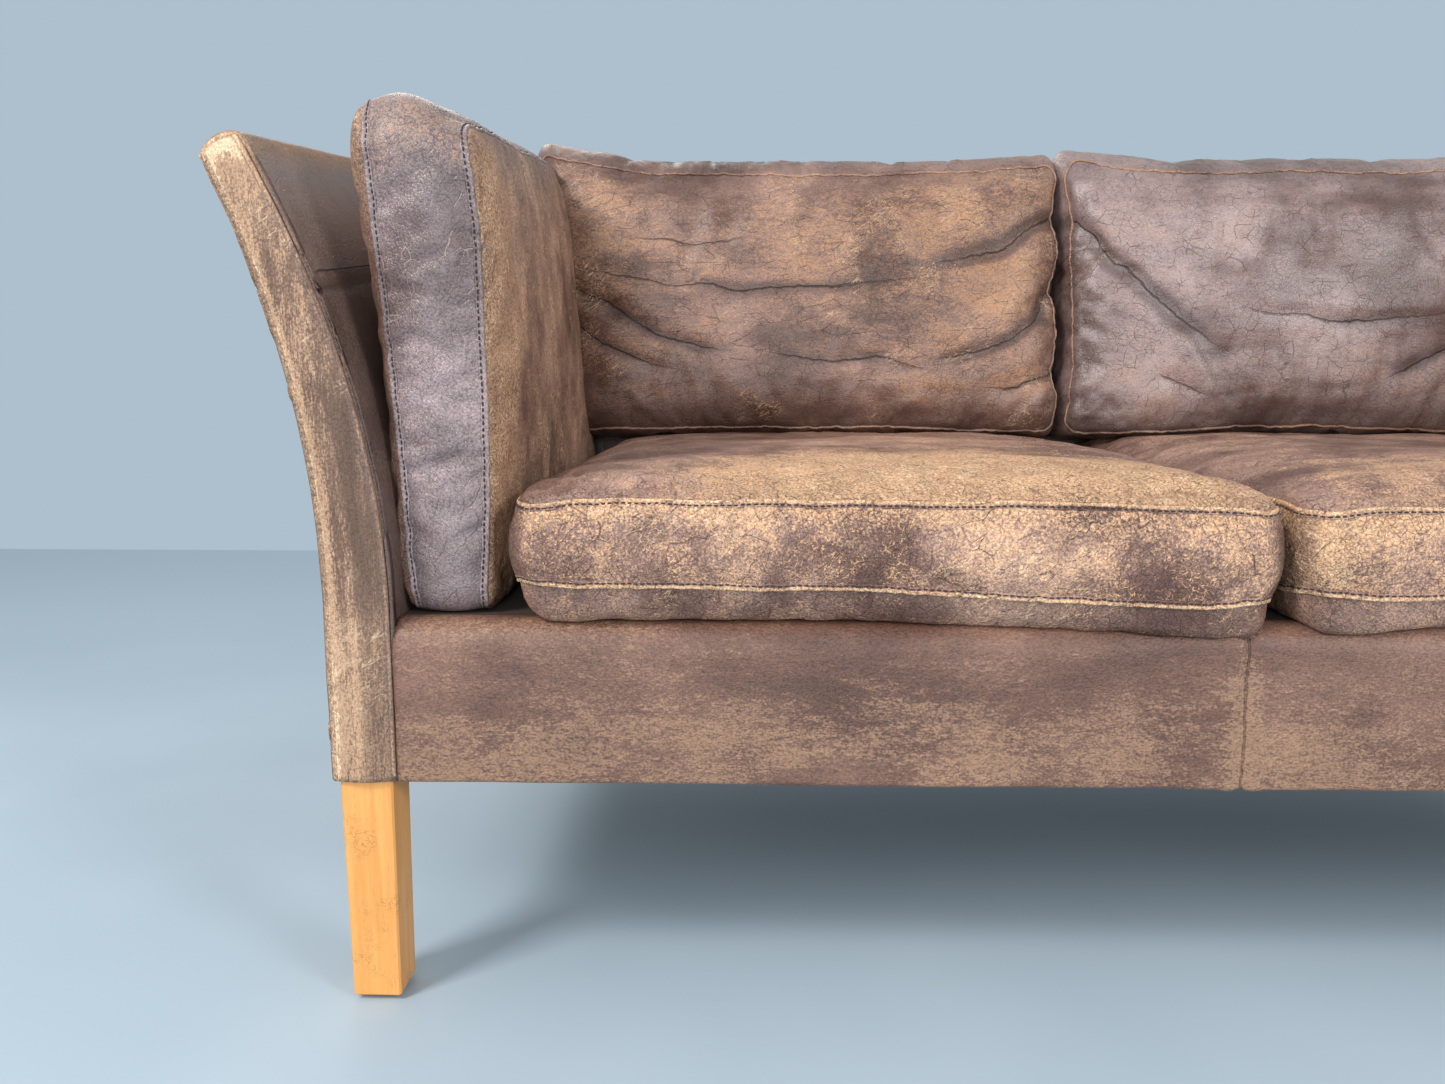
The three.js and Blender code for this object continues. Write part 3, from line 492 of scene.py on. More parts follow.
def every_second(grid):
    """Which points of the fine grid the coarse one has, the coarse grid's faces and its belts of points."""
    coarse = grid["panel"][::2, ::2]
    keep = np.zeros(len(grid["local"]), bool)
    for index in (coarse, coarse + grid["size"], grid["belts"][::2, ::2]):
        keep[index] = True
    number = np.cumsum(keep) - 1
    faces = grid_faces(*coarse.shape)
    top = number[coarse].ravel()[faces]
    bottom = number[coarse + grid["size"]].ravel()[faces][:, ::-1]
    belts = number[grid["belts"][::2, ::2]]
    return keep, np.concatenate([top, bottom, belt_faces(belts)]), belts


def stuff(covers):
    """Fills all covers at the same time, and returns how far each of their points has moved."""
    pieces = {}
    for name, (points, faces, held) in covers.items():
        cover = bpy.data.objects.new(name + "_cover", make_mesh(name + "_cover", points, faces))
        bpy.context.scene.collection.objects.link(cover)
        cover.vertex_groups.new(name="held").add(held.tolist(), HELD, "REPLACE")
        cloth = cover.modifiers.new("cloth", "CLOTH")
        for key, value in CLOTH.items():
            setattr(cloth.settings, key, value)
        cloth.settings.effector_weights.gravity = 0
        cloth.point_cache.frame_start = 1
        cloth.point_cache.frame_end = FRAMES
        pieces[name] = cover
    for number in range(1, FRAMES + 1):
        bpy.context.scene.frame_set(number)
    moved = {}
    depsgraph = bpy.context.evaluated_depsgraph_get()
    for name, cover in pieces.items():
        done = cover.evaluated_get(depsgraph).data
        places = np.zeros(len(done.vertices) * 3, np.float32)
        done.vertices.foreach_get("co", places)
        moved[name] = places.reshape(-1, 3).astype(float) / MM - covers[name][0]
        bpy.data.objects.remove(cover)
    bpy.context.scene.frame_set(1)
    return moved


def neighbour_mean(values, faces, rounds):
    """Each point's values mixed with its neighbours', many times over: the larger form is what is left."""
    edges = np.concatenate([faces[:, [0, 1]], faces[:, [1, 2]], faces[:, [2, 3]], faces[:, [3, 0]]])
    count = np.bincount(edges.ravel(), minlength=len(values))[:, None]
    for _ in range(rounds):
        total = np.zeros_like(values)
        for k in range(3):
            total[:, k] = np.bincount(edges[:, 0], values[edges[:, 1], k], len(values))
            total[:, k] += np.bincount(edges[:, 1], values[edges[:, 0], k], len(values))
        values = (values + total / count) / 2
    return values


def spread_out(grid, keep, moved):
    """The movement of the coarse points, carried over to all points of the fine grid."""
    whole = np.zeros((len(grid["local"]), 3))
    whole[keep] = moved

    def fill(index, closed):
        block = whole[index]
        if closed:
            block[:, 1::2] = (block[:, 0::2] + np.roll(block[:, 0::2], -1, axis=1)) / 2
        else:
            block[:, 1:-1:2] = (block[:, 0:-2:2] + block[:, 2::2]) / 2
        block[1:-1:2] = (block[0:-2:2] + block[2::2]) / 2
        whole[index] = block

    fill(grid["panel"], False)
    fill(grid["panel"] + grid["size"], False)
    fill(grid["belts"], True)
    return whole


folds = {name: np.zeros((len(grid["local"]), 3)) for name, grid in grids.items()}
covers, kept = {}, {}
for name, form in forms.items():
    keep, coarse, belts = every_second(grids[name])
    slack = cushion_points(form, grids[name], SLACK_FILL)[keep]
    covers[name] = (slack, outwards(slack, coarse), np.concatenate([belts[0], belts[-1]]))
    kept[name] = keep
before = time.perf_counter()
for name, moved in stuff(covers).items():
    fold = moved - neighbour_mean(moved, covers[name][1], SMOOTHING)
    length = np.linalg.norm(fold, axis=1, keepdims=True)
    fold *= np.minimum(1, LARGEST_FOLD / np.maximum(length, 1e-6))
    folds[name] = spread_out(grids[name], kept[name], fold)
    print(name, "moved", np.abs(moved).max().round(1), "folds", np.abs(fold).max().round(1), "mm")
print("simulated in", round(time.perf_counter() - before, 1), "s")

# %% [markdown]
# Creases.
# Some creases in the cushions are large enough to be seen from across the room, and they stay where a
# sitter has pressed them. Each is a short curve on its panel. The surface sinks along it and rises a
# little on both sides, as folded leather does, and the crease fades out at its ends.

# %% Creases and puckers


def along_curve(points, curve):
    """Distance to a curve of straight pieces, negative on one side, and how far along it a point lies."""
    curve = np.array(curve, float)
    steps = np.diff(curve, axis=0)
    lengths = np.linalg.norm(steps, axis=1)
    starts = np.concatenate([[0], np.cumsum(lengths)[:-1]])
    nearest = np.full(len(points), 1e9)
    share = np.zeros(len(points))
    for start, step, length, before in zip(curve[:-1], steps, lengths, starts):
        away = points - start
        t = np.clip(away @ step / length**2, 0, 1)
        distance = np.linalg.norm(away - t[:, None] * step, axis=1)
        distance = np.where(step[0] * away[:, 1] < step[1] * away[:, 0], -distance, distance)
        closer = np.abs(distance) < np.abs(nearest)
        nearest[closer] = distance[closer]
        share[closer] = ((before + t * length) / lengths.sum())[closer]
    return nearest, share


def crease(points, curve, depth, width):
    """A valley along a curve between a higher and a lower ridge, fading at both ends.

    Also gives the distance to the curve, and how much of the crease is left there.
    """
    wobble = 9 * (noise(flat(points[:, 0], points[:, 1]), 38, 5) - 0.5)
    distance, share = along_curve(points, curve)
    distance = distance + wobble
    fade = ease(0, 0.2, share) * ease(1, 0.65, share)
    valley = np.exp(-np.abs(distance / width) ** 1.3)
    ridge = np.exp(-(((distance - 1.9 * width) / (1.3 * width)) ** 2))
    other = np.exp(-(((distance + 2.2 * width) / (1.4 * width)) ** 2))
    return depth * fade * (0.55 * ridge + 0.25 * other - valley), distance, fade


def wrinkles(points, angle, length, spacing, seed, width=0.2):
    """Long narrow valleys in one direction: where noise, stretched along it, crosses its middle value."""
    turn = np.radians(angle)
    along = points[:, 0] * np.cos(turn) + points[:, 1] * np.sin(turn)
    across = points[:, 1] * np.cos(turn) - points[:, 0] * np.sin(turn)
    bent = across + 16 * (noise(flat(along, across), 60, seed + 5) - 0.5)
    waves = noise(flat(along / length, bent / spacing), 1, seed)
    return 0.5 - np.exp(-(((waves - 0.5) / width) ** 2))


def puckers(form, grid, size=17):
    """Small gathers across the seams, which die away within a few centimetres of them."""
    local = grid["local"]
    on_border = (1 - np.abs(local[:, 2])) * form["border"] / 2
    distance = np.where(grid["zone"] == 0, on_border, to_seam(form, local))
    turn = np.arctan2(local[:, 1] / form["b"], local[:, 0] / form["a"])
    around = turn * (form["a"] + form["b"]) / np.pi
    waves = cloud(flat(around, local[:, 2] * 9), size, form["seed"], 2) - 0.5
    corner = np.exp(-((to_corner(form, local) / 60) ** 2))
    return waves * np.exp(-((distance / 22) ** 2)) * (form["gather"] + 4.5 * corner)


example = crease(np.zeros((1, 2)), [(-50, 0), (50, 0)], 4.0, 10)
print("a crease is", -example[0][0].round(1), "mm deep at its middle")

# %% [markdown]
# Seams.
# The leather of a border is turned in and sewn down beside each seam, which leaves a raised lip and a
# row of stitches. Both follow the seam's points: the lip is a small profile carried along them, and the
# stitches are one short thread, copied at an even pitch.

# %% Lips and stitches
# Profiles of the lips, each as pairs of sideways and outwards: a lap that falls into a groove for the
# stitches and rises a little behind it, and a round welt.
LAP = np.array([(-1.0, -0.8), (-0.7, 0.8), (0.2, 1.7), (1.3, 1.8), (2.5, 1.3), (3.8, 0.6), (4.6, 0.45),
                (5.6, 0.7), (6.9, -0.3), (4.5, -1.7)])
around_welt = np.arange(10) * np.pi / 5
WELT = np.stack([1.5 * np.cos(around_welt), 0.8 + 1.5 * np.sin(around_welt)], -1)
SEAM_STEP = 3.2  # millimetres between the points of a lip
STITCH_PITCH = 5.0
STITCH_LENGTH = 3.5
THREAD = 0.74  # half the thread's thickness
STITCH_OFFSET = 4.5  # from the seam
stitches = []


def unit(vectors):
    """The same vectors with a length of 1."""
    return vectors / np.maximum(np.linalg.norm(vectors, axis=-1, keepdims=True), 1e-9)


def even_steps(places, others, step, closed):
    """A path and the vectors that go with it, at equal steps along its length."""
    if closed:
        places = np.concatenate([places, places[:1]])
        others = [np.concatenate([other, other[:1]]) for other in others]
    lengths = np.linalg.norm(np.diff(places, axis=0), axis=1)
    way = np.concatenate([[0], np.cumsum(lengths)])
    count = max(int(way[-1] / step), 3)
    at = np.linspace(0, way[-1], count + 1)
    at = at[:-1] if closed else at

    def at_steps(values):
        return np.stack([np.interp(at, way, values[:, k]) for k in range(3)], -1)

    return at_steps(places), [unit(at_steps(other)) for other in others]


def seam_frame(places, side_hint, out_hint, closed):
    """Unit vectors at each point of a seam: along it, to the side of its stitches, and out of the leather."""
    if closed:
        tangent = unit(np.roll(places, -1, axis=0) - np.roll(places, 1, axis=0))
    else:
        tangent = unit(np.gradient(places, axis=0))
    out = unit(out_hint - (out_hint * tangent).sum(-1, keepdims=True) * tangent)
    side = np.cross(out, tangent)
    side *= np.sign((side * side_hint).sum(-1, keepdims=True))
    return tangent, side, out


def cap_faces(first, count):
    """Four-sided faces that close a ring of points, straight across it."""
    i = np.arange(count // 2 - 1)
    return np.stack([i, i + 1, count - 2 - i, count - 1 - i], -1) + first


def swept(places, side, out, profile, closed, uneven=0.0, seed=0):
    """A profile of [sideways, outwards] pairs carried along a path."""
    size = 1 + uneven * (cloud(places, 22, seed, 2)[:, None, None] - 0.5)
    w, o = profile[None, :, 0, None], profile[None, :, 1, None]
    points = (places[:, None] + w * side[:, None] + o * size * out[:, None]).reshape(-1, 3)
    count, around = len(places), len(profile)
    rows = np.arange(count if closed else count - 1)[:, None]
    columns = np.arange(around)[None]
    after = (columns + 1) % around
    below = (rows + 1) % count
    faces = np.stack([rows * around + columns, rows * around + after, below * around + after,
                      below * around + columns], -1).reshape(-1, 4)
    if not closed:
        ends = [cap_faces(0, around), cap_faces((count - 1) * around, around)[:, ::-1]]
        faces = np.concatenate([faces, *ends])
    return points, outwards(points, faces)


def sew(places, side, out, closed, offset=STITCH_OFFSET, height=0.75):
    """Adds a row of stitches beside a seam: each a short thread whose ends are thinner and lie lower."""
    row = places + offset * side + height * out
    path, (side, out) = even_steps(row, [side, out], STITCH_PITCH, closed)
    along = np.cross(side, out)
    ends = np.array([-0.5, -0.32, 0.32, 0.5]) * STITCH_LENGTH
    thick = np.array([0.35, 1, 1, 0.35]) * THREAD
    drop = np.array([-0.35, 0, 0, -0.35])
    turn = np.arange(4) * np.pi / 2
    t = np.repeat(ends, 4)[None, :, None]
    w = (thick[:, None] * np.cos(turn)).ravel()[None, :, None]
    o = (thick[:, None] * np.sin(turn) + drop[:, None]).ravel()[None, :, None]
    stitches.append(path[:, None] + t * along[:, None] + w * side[:, None] + o * out[:, None])


def stitch_piece(name):
    """All stitches sewn so far, as one piece of thread."""
    points = np.concatenate(stitches)
    one = np.concatenate([grid_faces(4, 4, True), cap_faces(0, 4)[:, ::-1], cap_faces(12, 4)])
    one = outwards(points[0], one)
    faces = (one[None] + 16 * np.arange(len(points))[:, None, None]).reshape(-1, 4)
    piece = make_piece(name, points.reshape(-1, 3), faces)
    print(name, len(points), "stitches")
    stitches.clear()
    return piece


print("a lip's profile has", len(LAP), "points, and a stitch is", STITCH_LENGTH, "mm long")

# %% [markdown]
# Folds of the cushions.
# Each kind of cushion folds in its own way: a seat across its border and where people sit, a back in long
# sagging folds, an arm cushion in short ones across its front. Each function here gives the height of the
# folds at every point, and the nearest large crease for the material.

# %% Folds of the cushions
RAIL_ROUNDING = 22.0  # of the front rail's upper edge


def rest_on(z, height, soft=2.0):
    """Lifts what is lower than a support up to it, with a soft turn at the edge."""
    over = (z - height) / soft
    return height + soft * np.where(over > 8, over, np.log1p(np.exp(np.minimum(over, 8))))


def deck_under(y):
    """Height of what carries the lower cushions: the deck, and the rail's round edge in front of it."""
    edge = np.clip((y - front) / RAIL_ROUNDING, 0, 1)
    curve = deck_height - RAIL_ROUNDING * (1 - np.sqrt(np.maximum(1 - (1 - edge) ** 2, 0)))
    return np.where(y < front, deck_height - 26, curve)


def seat_shape(form, grid):
    """Extra height of a seat cushion's leather: sitting creases, and folds across its border."""
    local, zone = grid["local"], grid["zone"]
    on_front = np.abs(local[:, 1]) > form["b"] / 2 - 30
    around = flat(np.where(on_front, local[:, 0], local[:, 1]), local[:, 2] * form["border"] / 2)
    strip = wrinkles(around, -34, 70, 26, form["seed"]) * 1.2
    strip += wrinkles(around, 40, 50, 22, form["seed"] + 3) * 0.7
    top = wrinkles(local[:, :2], 12, 130, 46, form["seed"] + 7) * 1.4
    top += wrinkles(local[:, :2], -50, 90, 30, form["seed"] + 8) * 0.7
    mask = ease(0.35, 0.65, cloud(local * [1, 1, 20], 110, form["seed"] + 9))
    height = np.where(zone == 0, strip * (0.3 + 0.7 * mask), top * (0.2 + 0.8 * mask))
    return height, np.full(len(local), NO_CREASE), np.zeros(len(local))


def back_shape(form, grid):
    """Extra height of a back cushion's leather: long sagging folds across its front."""
    local, zone = grid["local"], grid["zone"]
    plane = local[:, :2] * [form["side"], 1]
    total = np.zeros(len(local))
    nearest = np.full(len(local), NO_CREASE)
    strength = np.zeros(len(local))
    for curve, depth, width in BACK_CREASES[form["node"]]:
        height, distance, fade = crease(plane, curve, depth, width)
        total += height
        closer = (np.abs(distance) < np.abs(nearest)) & (fade > 0.02)
        nearest[closer] = distance[closer]
        strength[closer] = fade[closer]
    fine = wrinkles(plane, 8, 110, 30, form["seed"]) * 1.2
    fine += wrinkles(plane, -42, 80, 26, form["seed"] + 3) * 0.9
    low = ease(40, -90, plane[:, 1])
    face = zone < 0
    on_border = np.where(zone == 0, ease(0.9, -1, local[:, 2]), 0)
    height = np.where(face, total + fine * (0.25 + 0.75 * low), on_border * total + fine * 0.6)
    return height, np.where(face, nearest, NO_CREASE), np.where(face, strength, 0)


def arm_shape(form, grid):
    """Extra height of an arm cushion's leather: short folds across its front border."""
    local, zone = grid["local"], grid["zone"]
    strip = flat(local[:, 2] * form["border"] / 2, local[:, 1] + 0.4 * local[:, 0])
    fold = wrinkles(strip, 14, 70, 34, form["seed"]) * 1.7
    fold += wrinkles(strip, -24, 46, 20, form["seed"] + 1) * 1.1
    inner = wrinkles(local[:, :2], 65, 120, 50, form["seed"] + 5) * 0.8
    return np.where(zone == 0, fold, inner), np.full(len(local), NO_CREASE), np.zeros(len(local))


# The folds of the two back cushions on their fronts, each as a curve of [across, up] from the cushion's
# middle, as someone who faces the sofa sees them, with its depth and its width.
BACK_CREASES = {
    "back_cushion_left": [
        ([(-290, 66), (-247, 36), (-215, 24), (-150, 14), (-80, 12), (10, 14), (120, 24), (175, 40)], 1.9, 8),
        ([(-300, 40), (-270, 18), (-240, -2), (-205, -26), (-175, -44), (-125, -60), (-70, -66)], 3.8, 10),
        ([(-310, -10), (-275, -30), (-245, -52), (-190, -76), (-140, -95)], 3.4, 10),
        ([(350, 130), (285, 96), (262, 84), (230, 60), (185, 45), (120, 40)], 6.0, 13),
        ([(345, 50), (285, 6), (270, -26), (235, -50), (170, -72), (110, -78)], 6.0, 13),
        ([(340, -60), (285, -90), (240, -104), (180, -110)], 4.0, 12),
        ([(-60, -70), (10, -78), (90, -74), (160, -92)], 1.8, 11),
        ([(-200, 80), (-120, 70), (-40, 76)], 1.4, 14),
    ],
    "back_cushion_right": [
        ([(-330, 130), (-272, 78), (-252, 48), (-215, 10), (-180, -18), (-140, -50), (-96, -84)], 5.6, 13),
        ([(-130, -10), (-75, -18), (-20, -25), (40, -28), (100, -24), (170, -10)], 1.8, 8),
        ([(-200, -88), (-190, -95), (-130, -122)], 3.0, 11),
        ([(165, -45), (115, -74), (60, -104)], 3.0, 12),
        ([(340, 130), (275, 90), (220, 55), (170, 42)], 5.0, 12),
        ([(345, -20), (280, -50), (220, -66)], 4.0, 12),
    ],
}
shapes = {"seat": seat_shape, "back": back_shape, "arm": arm_shape}
print("large creases:", {name: len(creases) for name, creases in BACK_CREASES.items()})

# %% [markdown]
# Wear of the cushions.
# Colour goes where people rub against the leather, and shade is painted into seams, gaps and low parts. Both
# are numbers from
# 0 to 1 at the points, because they follow the cushion's form, and the material only has to read them.

# %% Wear of the cushions


def seat_wear(form, grid):
    """Rubbed most along the front of the top, and least at the first cushion's outer side."""
    local, zone = grid["local"], grid["zone"]
    toward_front = -local[:, 1] / form["b"]
    second = form["side"] > 0
    across = local[:, 0] / form["a"]
    ends = ease(0.36, 0.5, np.abs(across))
    upper = ease(0.2, 0.9, local[:, 2])
    if second:
        top = 0.3 + 0.22 * ease(0.12, 0.4, toward_front)
        border = 0.5 + 0.16 * upper + 0.2 * ends
    else:
        top = 0.36 + 0.42 * ease(0.12, 0.4, toward_front) - 0.5 * ease(-0.1, -0.42, across)
        border = 0.46 + 0.16 * upper
    return np.where(zone > 0, top - 0.25 * ends, np.where(zone < 0, 0.42, border))


def back_wear(form, grid):
    """The left one is rubbed most over its upper half and at its sides, the right one at its foot."""
    local, zone = grid["local"], grid["zone"]
    up = local[:, 1] / form["b"]
    seen = form["side"] * local[:, 0] / form["a"]
    if form["side"] < 0:
        face = 0.36 + 0.08 * ease(-0.3, 0.2, up) * ease(0.5, 0.3, up)
        face = face + 0.12 * ease(-0.2, 0.4, seen) + 0.12 * ease(-0.25, -0.45, seen)
    else:
        face = 0.32 + 0.1 * ease(0.0, -0.5, up)
    return np.where(zone == 0, 0.3, face)


def arm_wear(form, grid):
    """The inner side is rubbed by arms and hands, and the border hardly anywhere but at its top."""
    local, zone = grid["local"], grid["zone"]
    head = ease(0.28, 0.44, local[:, 1] / form["b"])
    near_front = ease(0.25, 0.5, -local[:, 0] / form["a"])
    return np.where(zone < 0, 0.42 + 0.2 * near_front, 0.26 + 0.3 * head)


def painted_shade_of(form, grid):
    """Painted shade beside the seams, at a seat's ends, on a back's left side and border, and at an arm
    cushion's foot and top. A back is also darker low down.
    """
    local, zone = grid["local"], grid["zone"]
    up = local[:, 1] / form["b"]
    seen = form["side"] * local[:, 0] / form["a"]
    kind = kind_of(form["node"])
    shaded = np.exp(-to_seam(form, local) / 16) * (zone != 0) * 0.45
    if kind == "seat":
        shaded = shaded + 0.9 * ease(0.47, 0.495, np.abs(seen)) * (zone == 0)
    if kind == "back":
        left = (0.5 if form["side"] < 0 else 0.25) * ease(-0.38, -0.48, seen)
        shaded = shaded + (0.75 * ease(-0.3, -0.5, up) + left) * (zone < 0) + 0.35 * (zone == 0)
    if kind == "arm":
        shaded = shaded + (0.42 * ease(0.2, 0.42, up) + 0.7 * ease(-0.1, -0.4, up)) * (zone == 0)
    return np.clip(shaded, 0, 1)


wears = {"seat": seat_wear, "back": back_wear, "arm": arm_wear}
for name, form in forms.items():
    print(name, "wear", wears[kind_of(name)](form, grids[name]).mean().round(2))

# %% [markdown]
# Cushions with their seams.
# Now each cushion is put together. The order matters: the stuffed form first, then folds and gathers along
# its normals, then what it rests on flattens it, and the lips and stitches follow the finished leather.

# %% Cushions with their seams
# For each kind of cushion: the profile of its lips, whether they have stitches, and how worn they are.
SEAMS = {
    "seat": (LAP * [0.85, 1.1], True, 0.84),
    "back": (WELT, False, 0.52),
    "arm": (LAP * [0.85, 0.9], True, 0.42),
}
CUSHION_STITCHES = 0.85 * STITCH_OFFSET
BROAD_WAVES = 4.0  # millimetres from the lowest to the highest
DRIFT = {"seat": 5.0, "back": 8.0, "arm": 5.0}  # how far a cushion's points may drift, in millimetres
RESTING_GAP = 0.6  # between a cushion and what carries it


def finished_cushion(name, form):
    """A cushion's points and faces as they stay, and the numbers that its finish reads."""
    grid, kind, seed = grids[name], kind_of(name), form["seed"]
    points = cushion_points(form, grid) + folds[name]
    faces = outwards(points, grid["faces"])
    height, to_crease, crease_strength = shapes[kind](form, grid)
    height = height + puckers(form, grid) + BROAD_WAVES * (cloud(points, 120, seed + 20, 2) - 0.5)
    points = points + height[:, None] * surface_normals(points, faces)
    drift = np.stack([cloud(points, 75, seed + k, 2) for k in (30, 31, 32)], -1) - 0.5
    points = points + DRIFT[kind] * drift
    if kind != "back":
        points[:, 2] = rest_on(points[:, 2], deck_under(points[:, 1]) + RESTING_GAP)
    # Painted shade in the valleys of the folds, beside the seams, in the gaps and low down on a back.
    painted_shade = np.maximum(ease(-0.4, -3.0, height), painted_shade_of(form, grid))
    marks = {"wear": wears[kind](form, grid), "crease": to_crease, "strength": crease_strength}
    return points, faces, {**marks, "painted_shade": painted_shade}


def lip_wear(profile, pale, count):
    """The worn marks of a lip: its raised points are pale, and the lower ones less so."""
    return np.tile(pale * np.clip(profile[:, 1] / 1.6, 0.3, 1), count)


cushions = {}
lips = {}
for name, form in forms.items():
    points, faces, marks = finished_cushion(name, form)
    cushions[name] = make_piece(name + "_leather", points, faces, marks, [name])
    middle = points.mean(0)
    profile, stitched, pale = SEAMS[kind_of(name)]
    belts = grids[name]["belts"]
    for row, inward, end in [(0, 2, "upper"), (-1, -3, "lower")]:
        seam = points[belts[row]]
        toward = unit(points[belts[inward]] - seam)
        tangent = unit(np.roll(seam, -1, axis=0) - np.roll(seam, 1, axis=0))
        out = np.cross(tangent, toward)
        out *= np.sign((out * (seam - middle)).sum(-1).sum())
        path, (toward, out) = even_steps(seam, [toward, out], SEAM_STEP, True)
        tangent, side, out = seam_frame(path, toward, out, True)
        lip, lip_faces = swept(path, side, out, profile, True, 0.6, form["seed"])
        key = f"{name}_{end}_lip"
        marks = worn_marks(lip_wear(profile, pale, len(path)))
        lips[key] = make_piece(key, lip, lip_faces, marks, ())
        if stitched:
            sew(path, side, out, True, CUSHION_STITCHES)
stitch_rows = {"cushion_stitches": stitch_piece("cushion_stitches")}

# %% [markdown]
# Arms and back.
# Their walls lean outwards more and more as they rise and get thinner towards the top. A wall's section
# is worked out from the middle line of that curve: the outer side up, a round crown, the inner side down.

# %% Walls
WALL_THICKNESS = 54.0
WALL_CREST = 34.0  # thickness at the top
WALL_CROWN = 9.0  # height of the round top
WALL_END = 13.0  # how far below its shoulder a wall's middle line ends
BEND_START = 330.0  # height at which a wall starts to lean
BEND_HEIGHT = 400.0  # height above that over which it leans by its whole lean
ARM = {"middle": half_seat + 0.3 + WALL_THICKNESS / 2, "lean": 114.0}
BACK = {"middle": front + 700 - WALL_THICKNESS / 2, "lean": 66.0}
ARM_TOP = 680.0
BACK_TOP = 774.0
SIDE_POINTS = 108
CROWN_POINTS = 15


def wall_middle(wall, up):
    """Where a wall's middle line is at a height, and the angle at which it leans there."""
    over = np.maximum(0, up - BEND_START) / BEND_HEIGHT
    return wall["middle"] + wall["lean"] * over**2, np.arctan(2 * wall["lean"] * over / BEND_HEIGHT)


def wall_half(up, top):
    """Half of a wall's thickness, which shrinks above the bend."""
    share = np.clip((up - BEND_START) / (top - BEND_START), 0, 1)
    return (WALL_THICKNESS - (WALL_THICKNESS - WALL_CREST) * share**1.5) / 2


def wall_section(wall, top, inset, narrow=0.0):
    """Outline of a wall as arrays of out and up, for rows of tops and insets.

    narrow shrinks the outline towards the wall's middle line, and 1 makes it that line.
    """
    crown = np.maximum(WALL_CROWN - inset, 1) * (1 - narrow)
    shoulder = top - inset - WALL_END * narrow - crown
    up = body_bottom + (shoulder - body_bottom) * np.linspace(0, 1, SIDE_POINTS)[None]
    middle, angle = wall_middle(wall, up)
    half = (wall_half(up, top) - inset) * (1 - narrow)
    across, down = half * np.cos(angle), half * np.sin(angle)
    middle_top, angle_top = wall_middle(wall, shoulder)
    half_top = (wall_half(shoulder, top) - inset) * (1 - narrow)
    turn = np.linspace(0, np.pi, CROWN_POINTS)[None, 1:-1]
    off, rise = half_top * np.cos(turn), crown * np.sin(turn)
    over_out = middle_top + off * np.cos(angle_top) + rise * np.sin(angle_top)
    over_up = shoulder - off * np.sin(angle_top) + rise * np.cos(angle_top)
    out = np.concatenate([middle + across, over_out, (middle - across)[:, ::-1]], 1)
    height = np.concatenate([up - down, over_up, (up + down)[:, ::-1]], 1)
    return out, height


def arm_top(share):
    """An arm's height, which rises from its front to the back's height at its rear."""
    return ARM_TOP + (BACK_TOP - ARM_TOP) * share


def arm_rear(up):
    """The rear edge of an arm follows the back's outer side."""
    middle, angle = wall_middle(BACK, up)
    return middle + wall_half(up, BACK_TOP) / np.cos(angle) + 2


def arm_points(side, share, inset, end, narrow):
    """Rings of an arm from its front to its rear: share of the way, inset and distance from the end."""
    share, inset, end, narrow = (np.asarray(v, float)[:, None] for v in (share, inset, end, narrow))
    out, up = wall_section(ARM, arm_top(share), inset, narrow)
    rear = arm_rear(up) - end
    start = front + end
    return flat(side * out, start + (rear - start) * share, up)


for height in (BEND_START, ARM_TOP):
    print("an arm's middle line at", height, "mm up is", wall_middle(ARM, height)[0].round(1), "mm out")

# %% [markdown]
# Leather of the arms.
# An upholsterer pulls one hide over the padded arm and sews a narrow border to its front and its rear. Here
# the hide is one sheet of rings: each ring is the wall's section at its place, and the first and last rings
# shrink to the middle line, so that the padded ends are crowned and closed. The seam on the inner side is a
# groove, with stitches on both sides of it.

# %% Leather of the arms
EDGE = 6.0  # rounding of an arm's ends
BULGE = 2.6  # of the padded ends
HALF_BORDER = 25.0  # half the width of the narrow border on an arm's end
ARM_LENGTH = 770.0
SEAM_BELOW_TOP = 110.0
GROOVE = 1.5  # depth of that seam
turns = np.linspace(0, np.pi / 2, 6)
face = np.linspace(0, 1, 8)[1:]
between = np.linspace(0, 1, 180)[1:-1]


def arm_sheet(side):
    """The arm's leather as rows from the middle of its front, over the edge, to the middle of its rear."""
    bend = EDGE * (1 - np.sin(turns))
    drop = EDGE * (1 - np.cos(turns))
    inset = np.concatenate([0 * face + EDGE, bend, 0 * between, bend[::-1], 0 * face + EDGE])
    bulge = -BULGE * np.sin(np.pi / 2 * face)
    end = np.concatenate([bulge[::-1], drop, 0 * between, drop[::-1], bulge])
    narrow = np.concatenate([face[::-1], 0 * turns, 0 * between, 0 * turns, face])
    share = np.concatenate([0 * face, 0 * turns, between, 1 + 0 * turns, 1 + 0 * face])
    return arm_points(side, share, inset, end, narrow)


def joined_middle(rows, columns):
    """Faces of the sheet, with both sides of its first and last rows joined along the middle."""
    faces = grid_faces(rows, columns)
    number = np.arange(rows * columns).reshape(rows, columns)
    mirror = np.minimum(np.arange(columns), columns - 1 - np.arange(columns))
    number[0] = mirror
    number[-1] = (rows - 1) * columns + mirror
    return number.ravel()[faces]


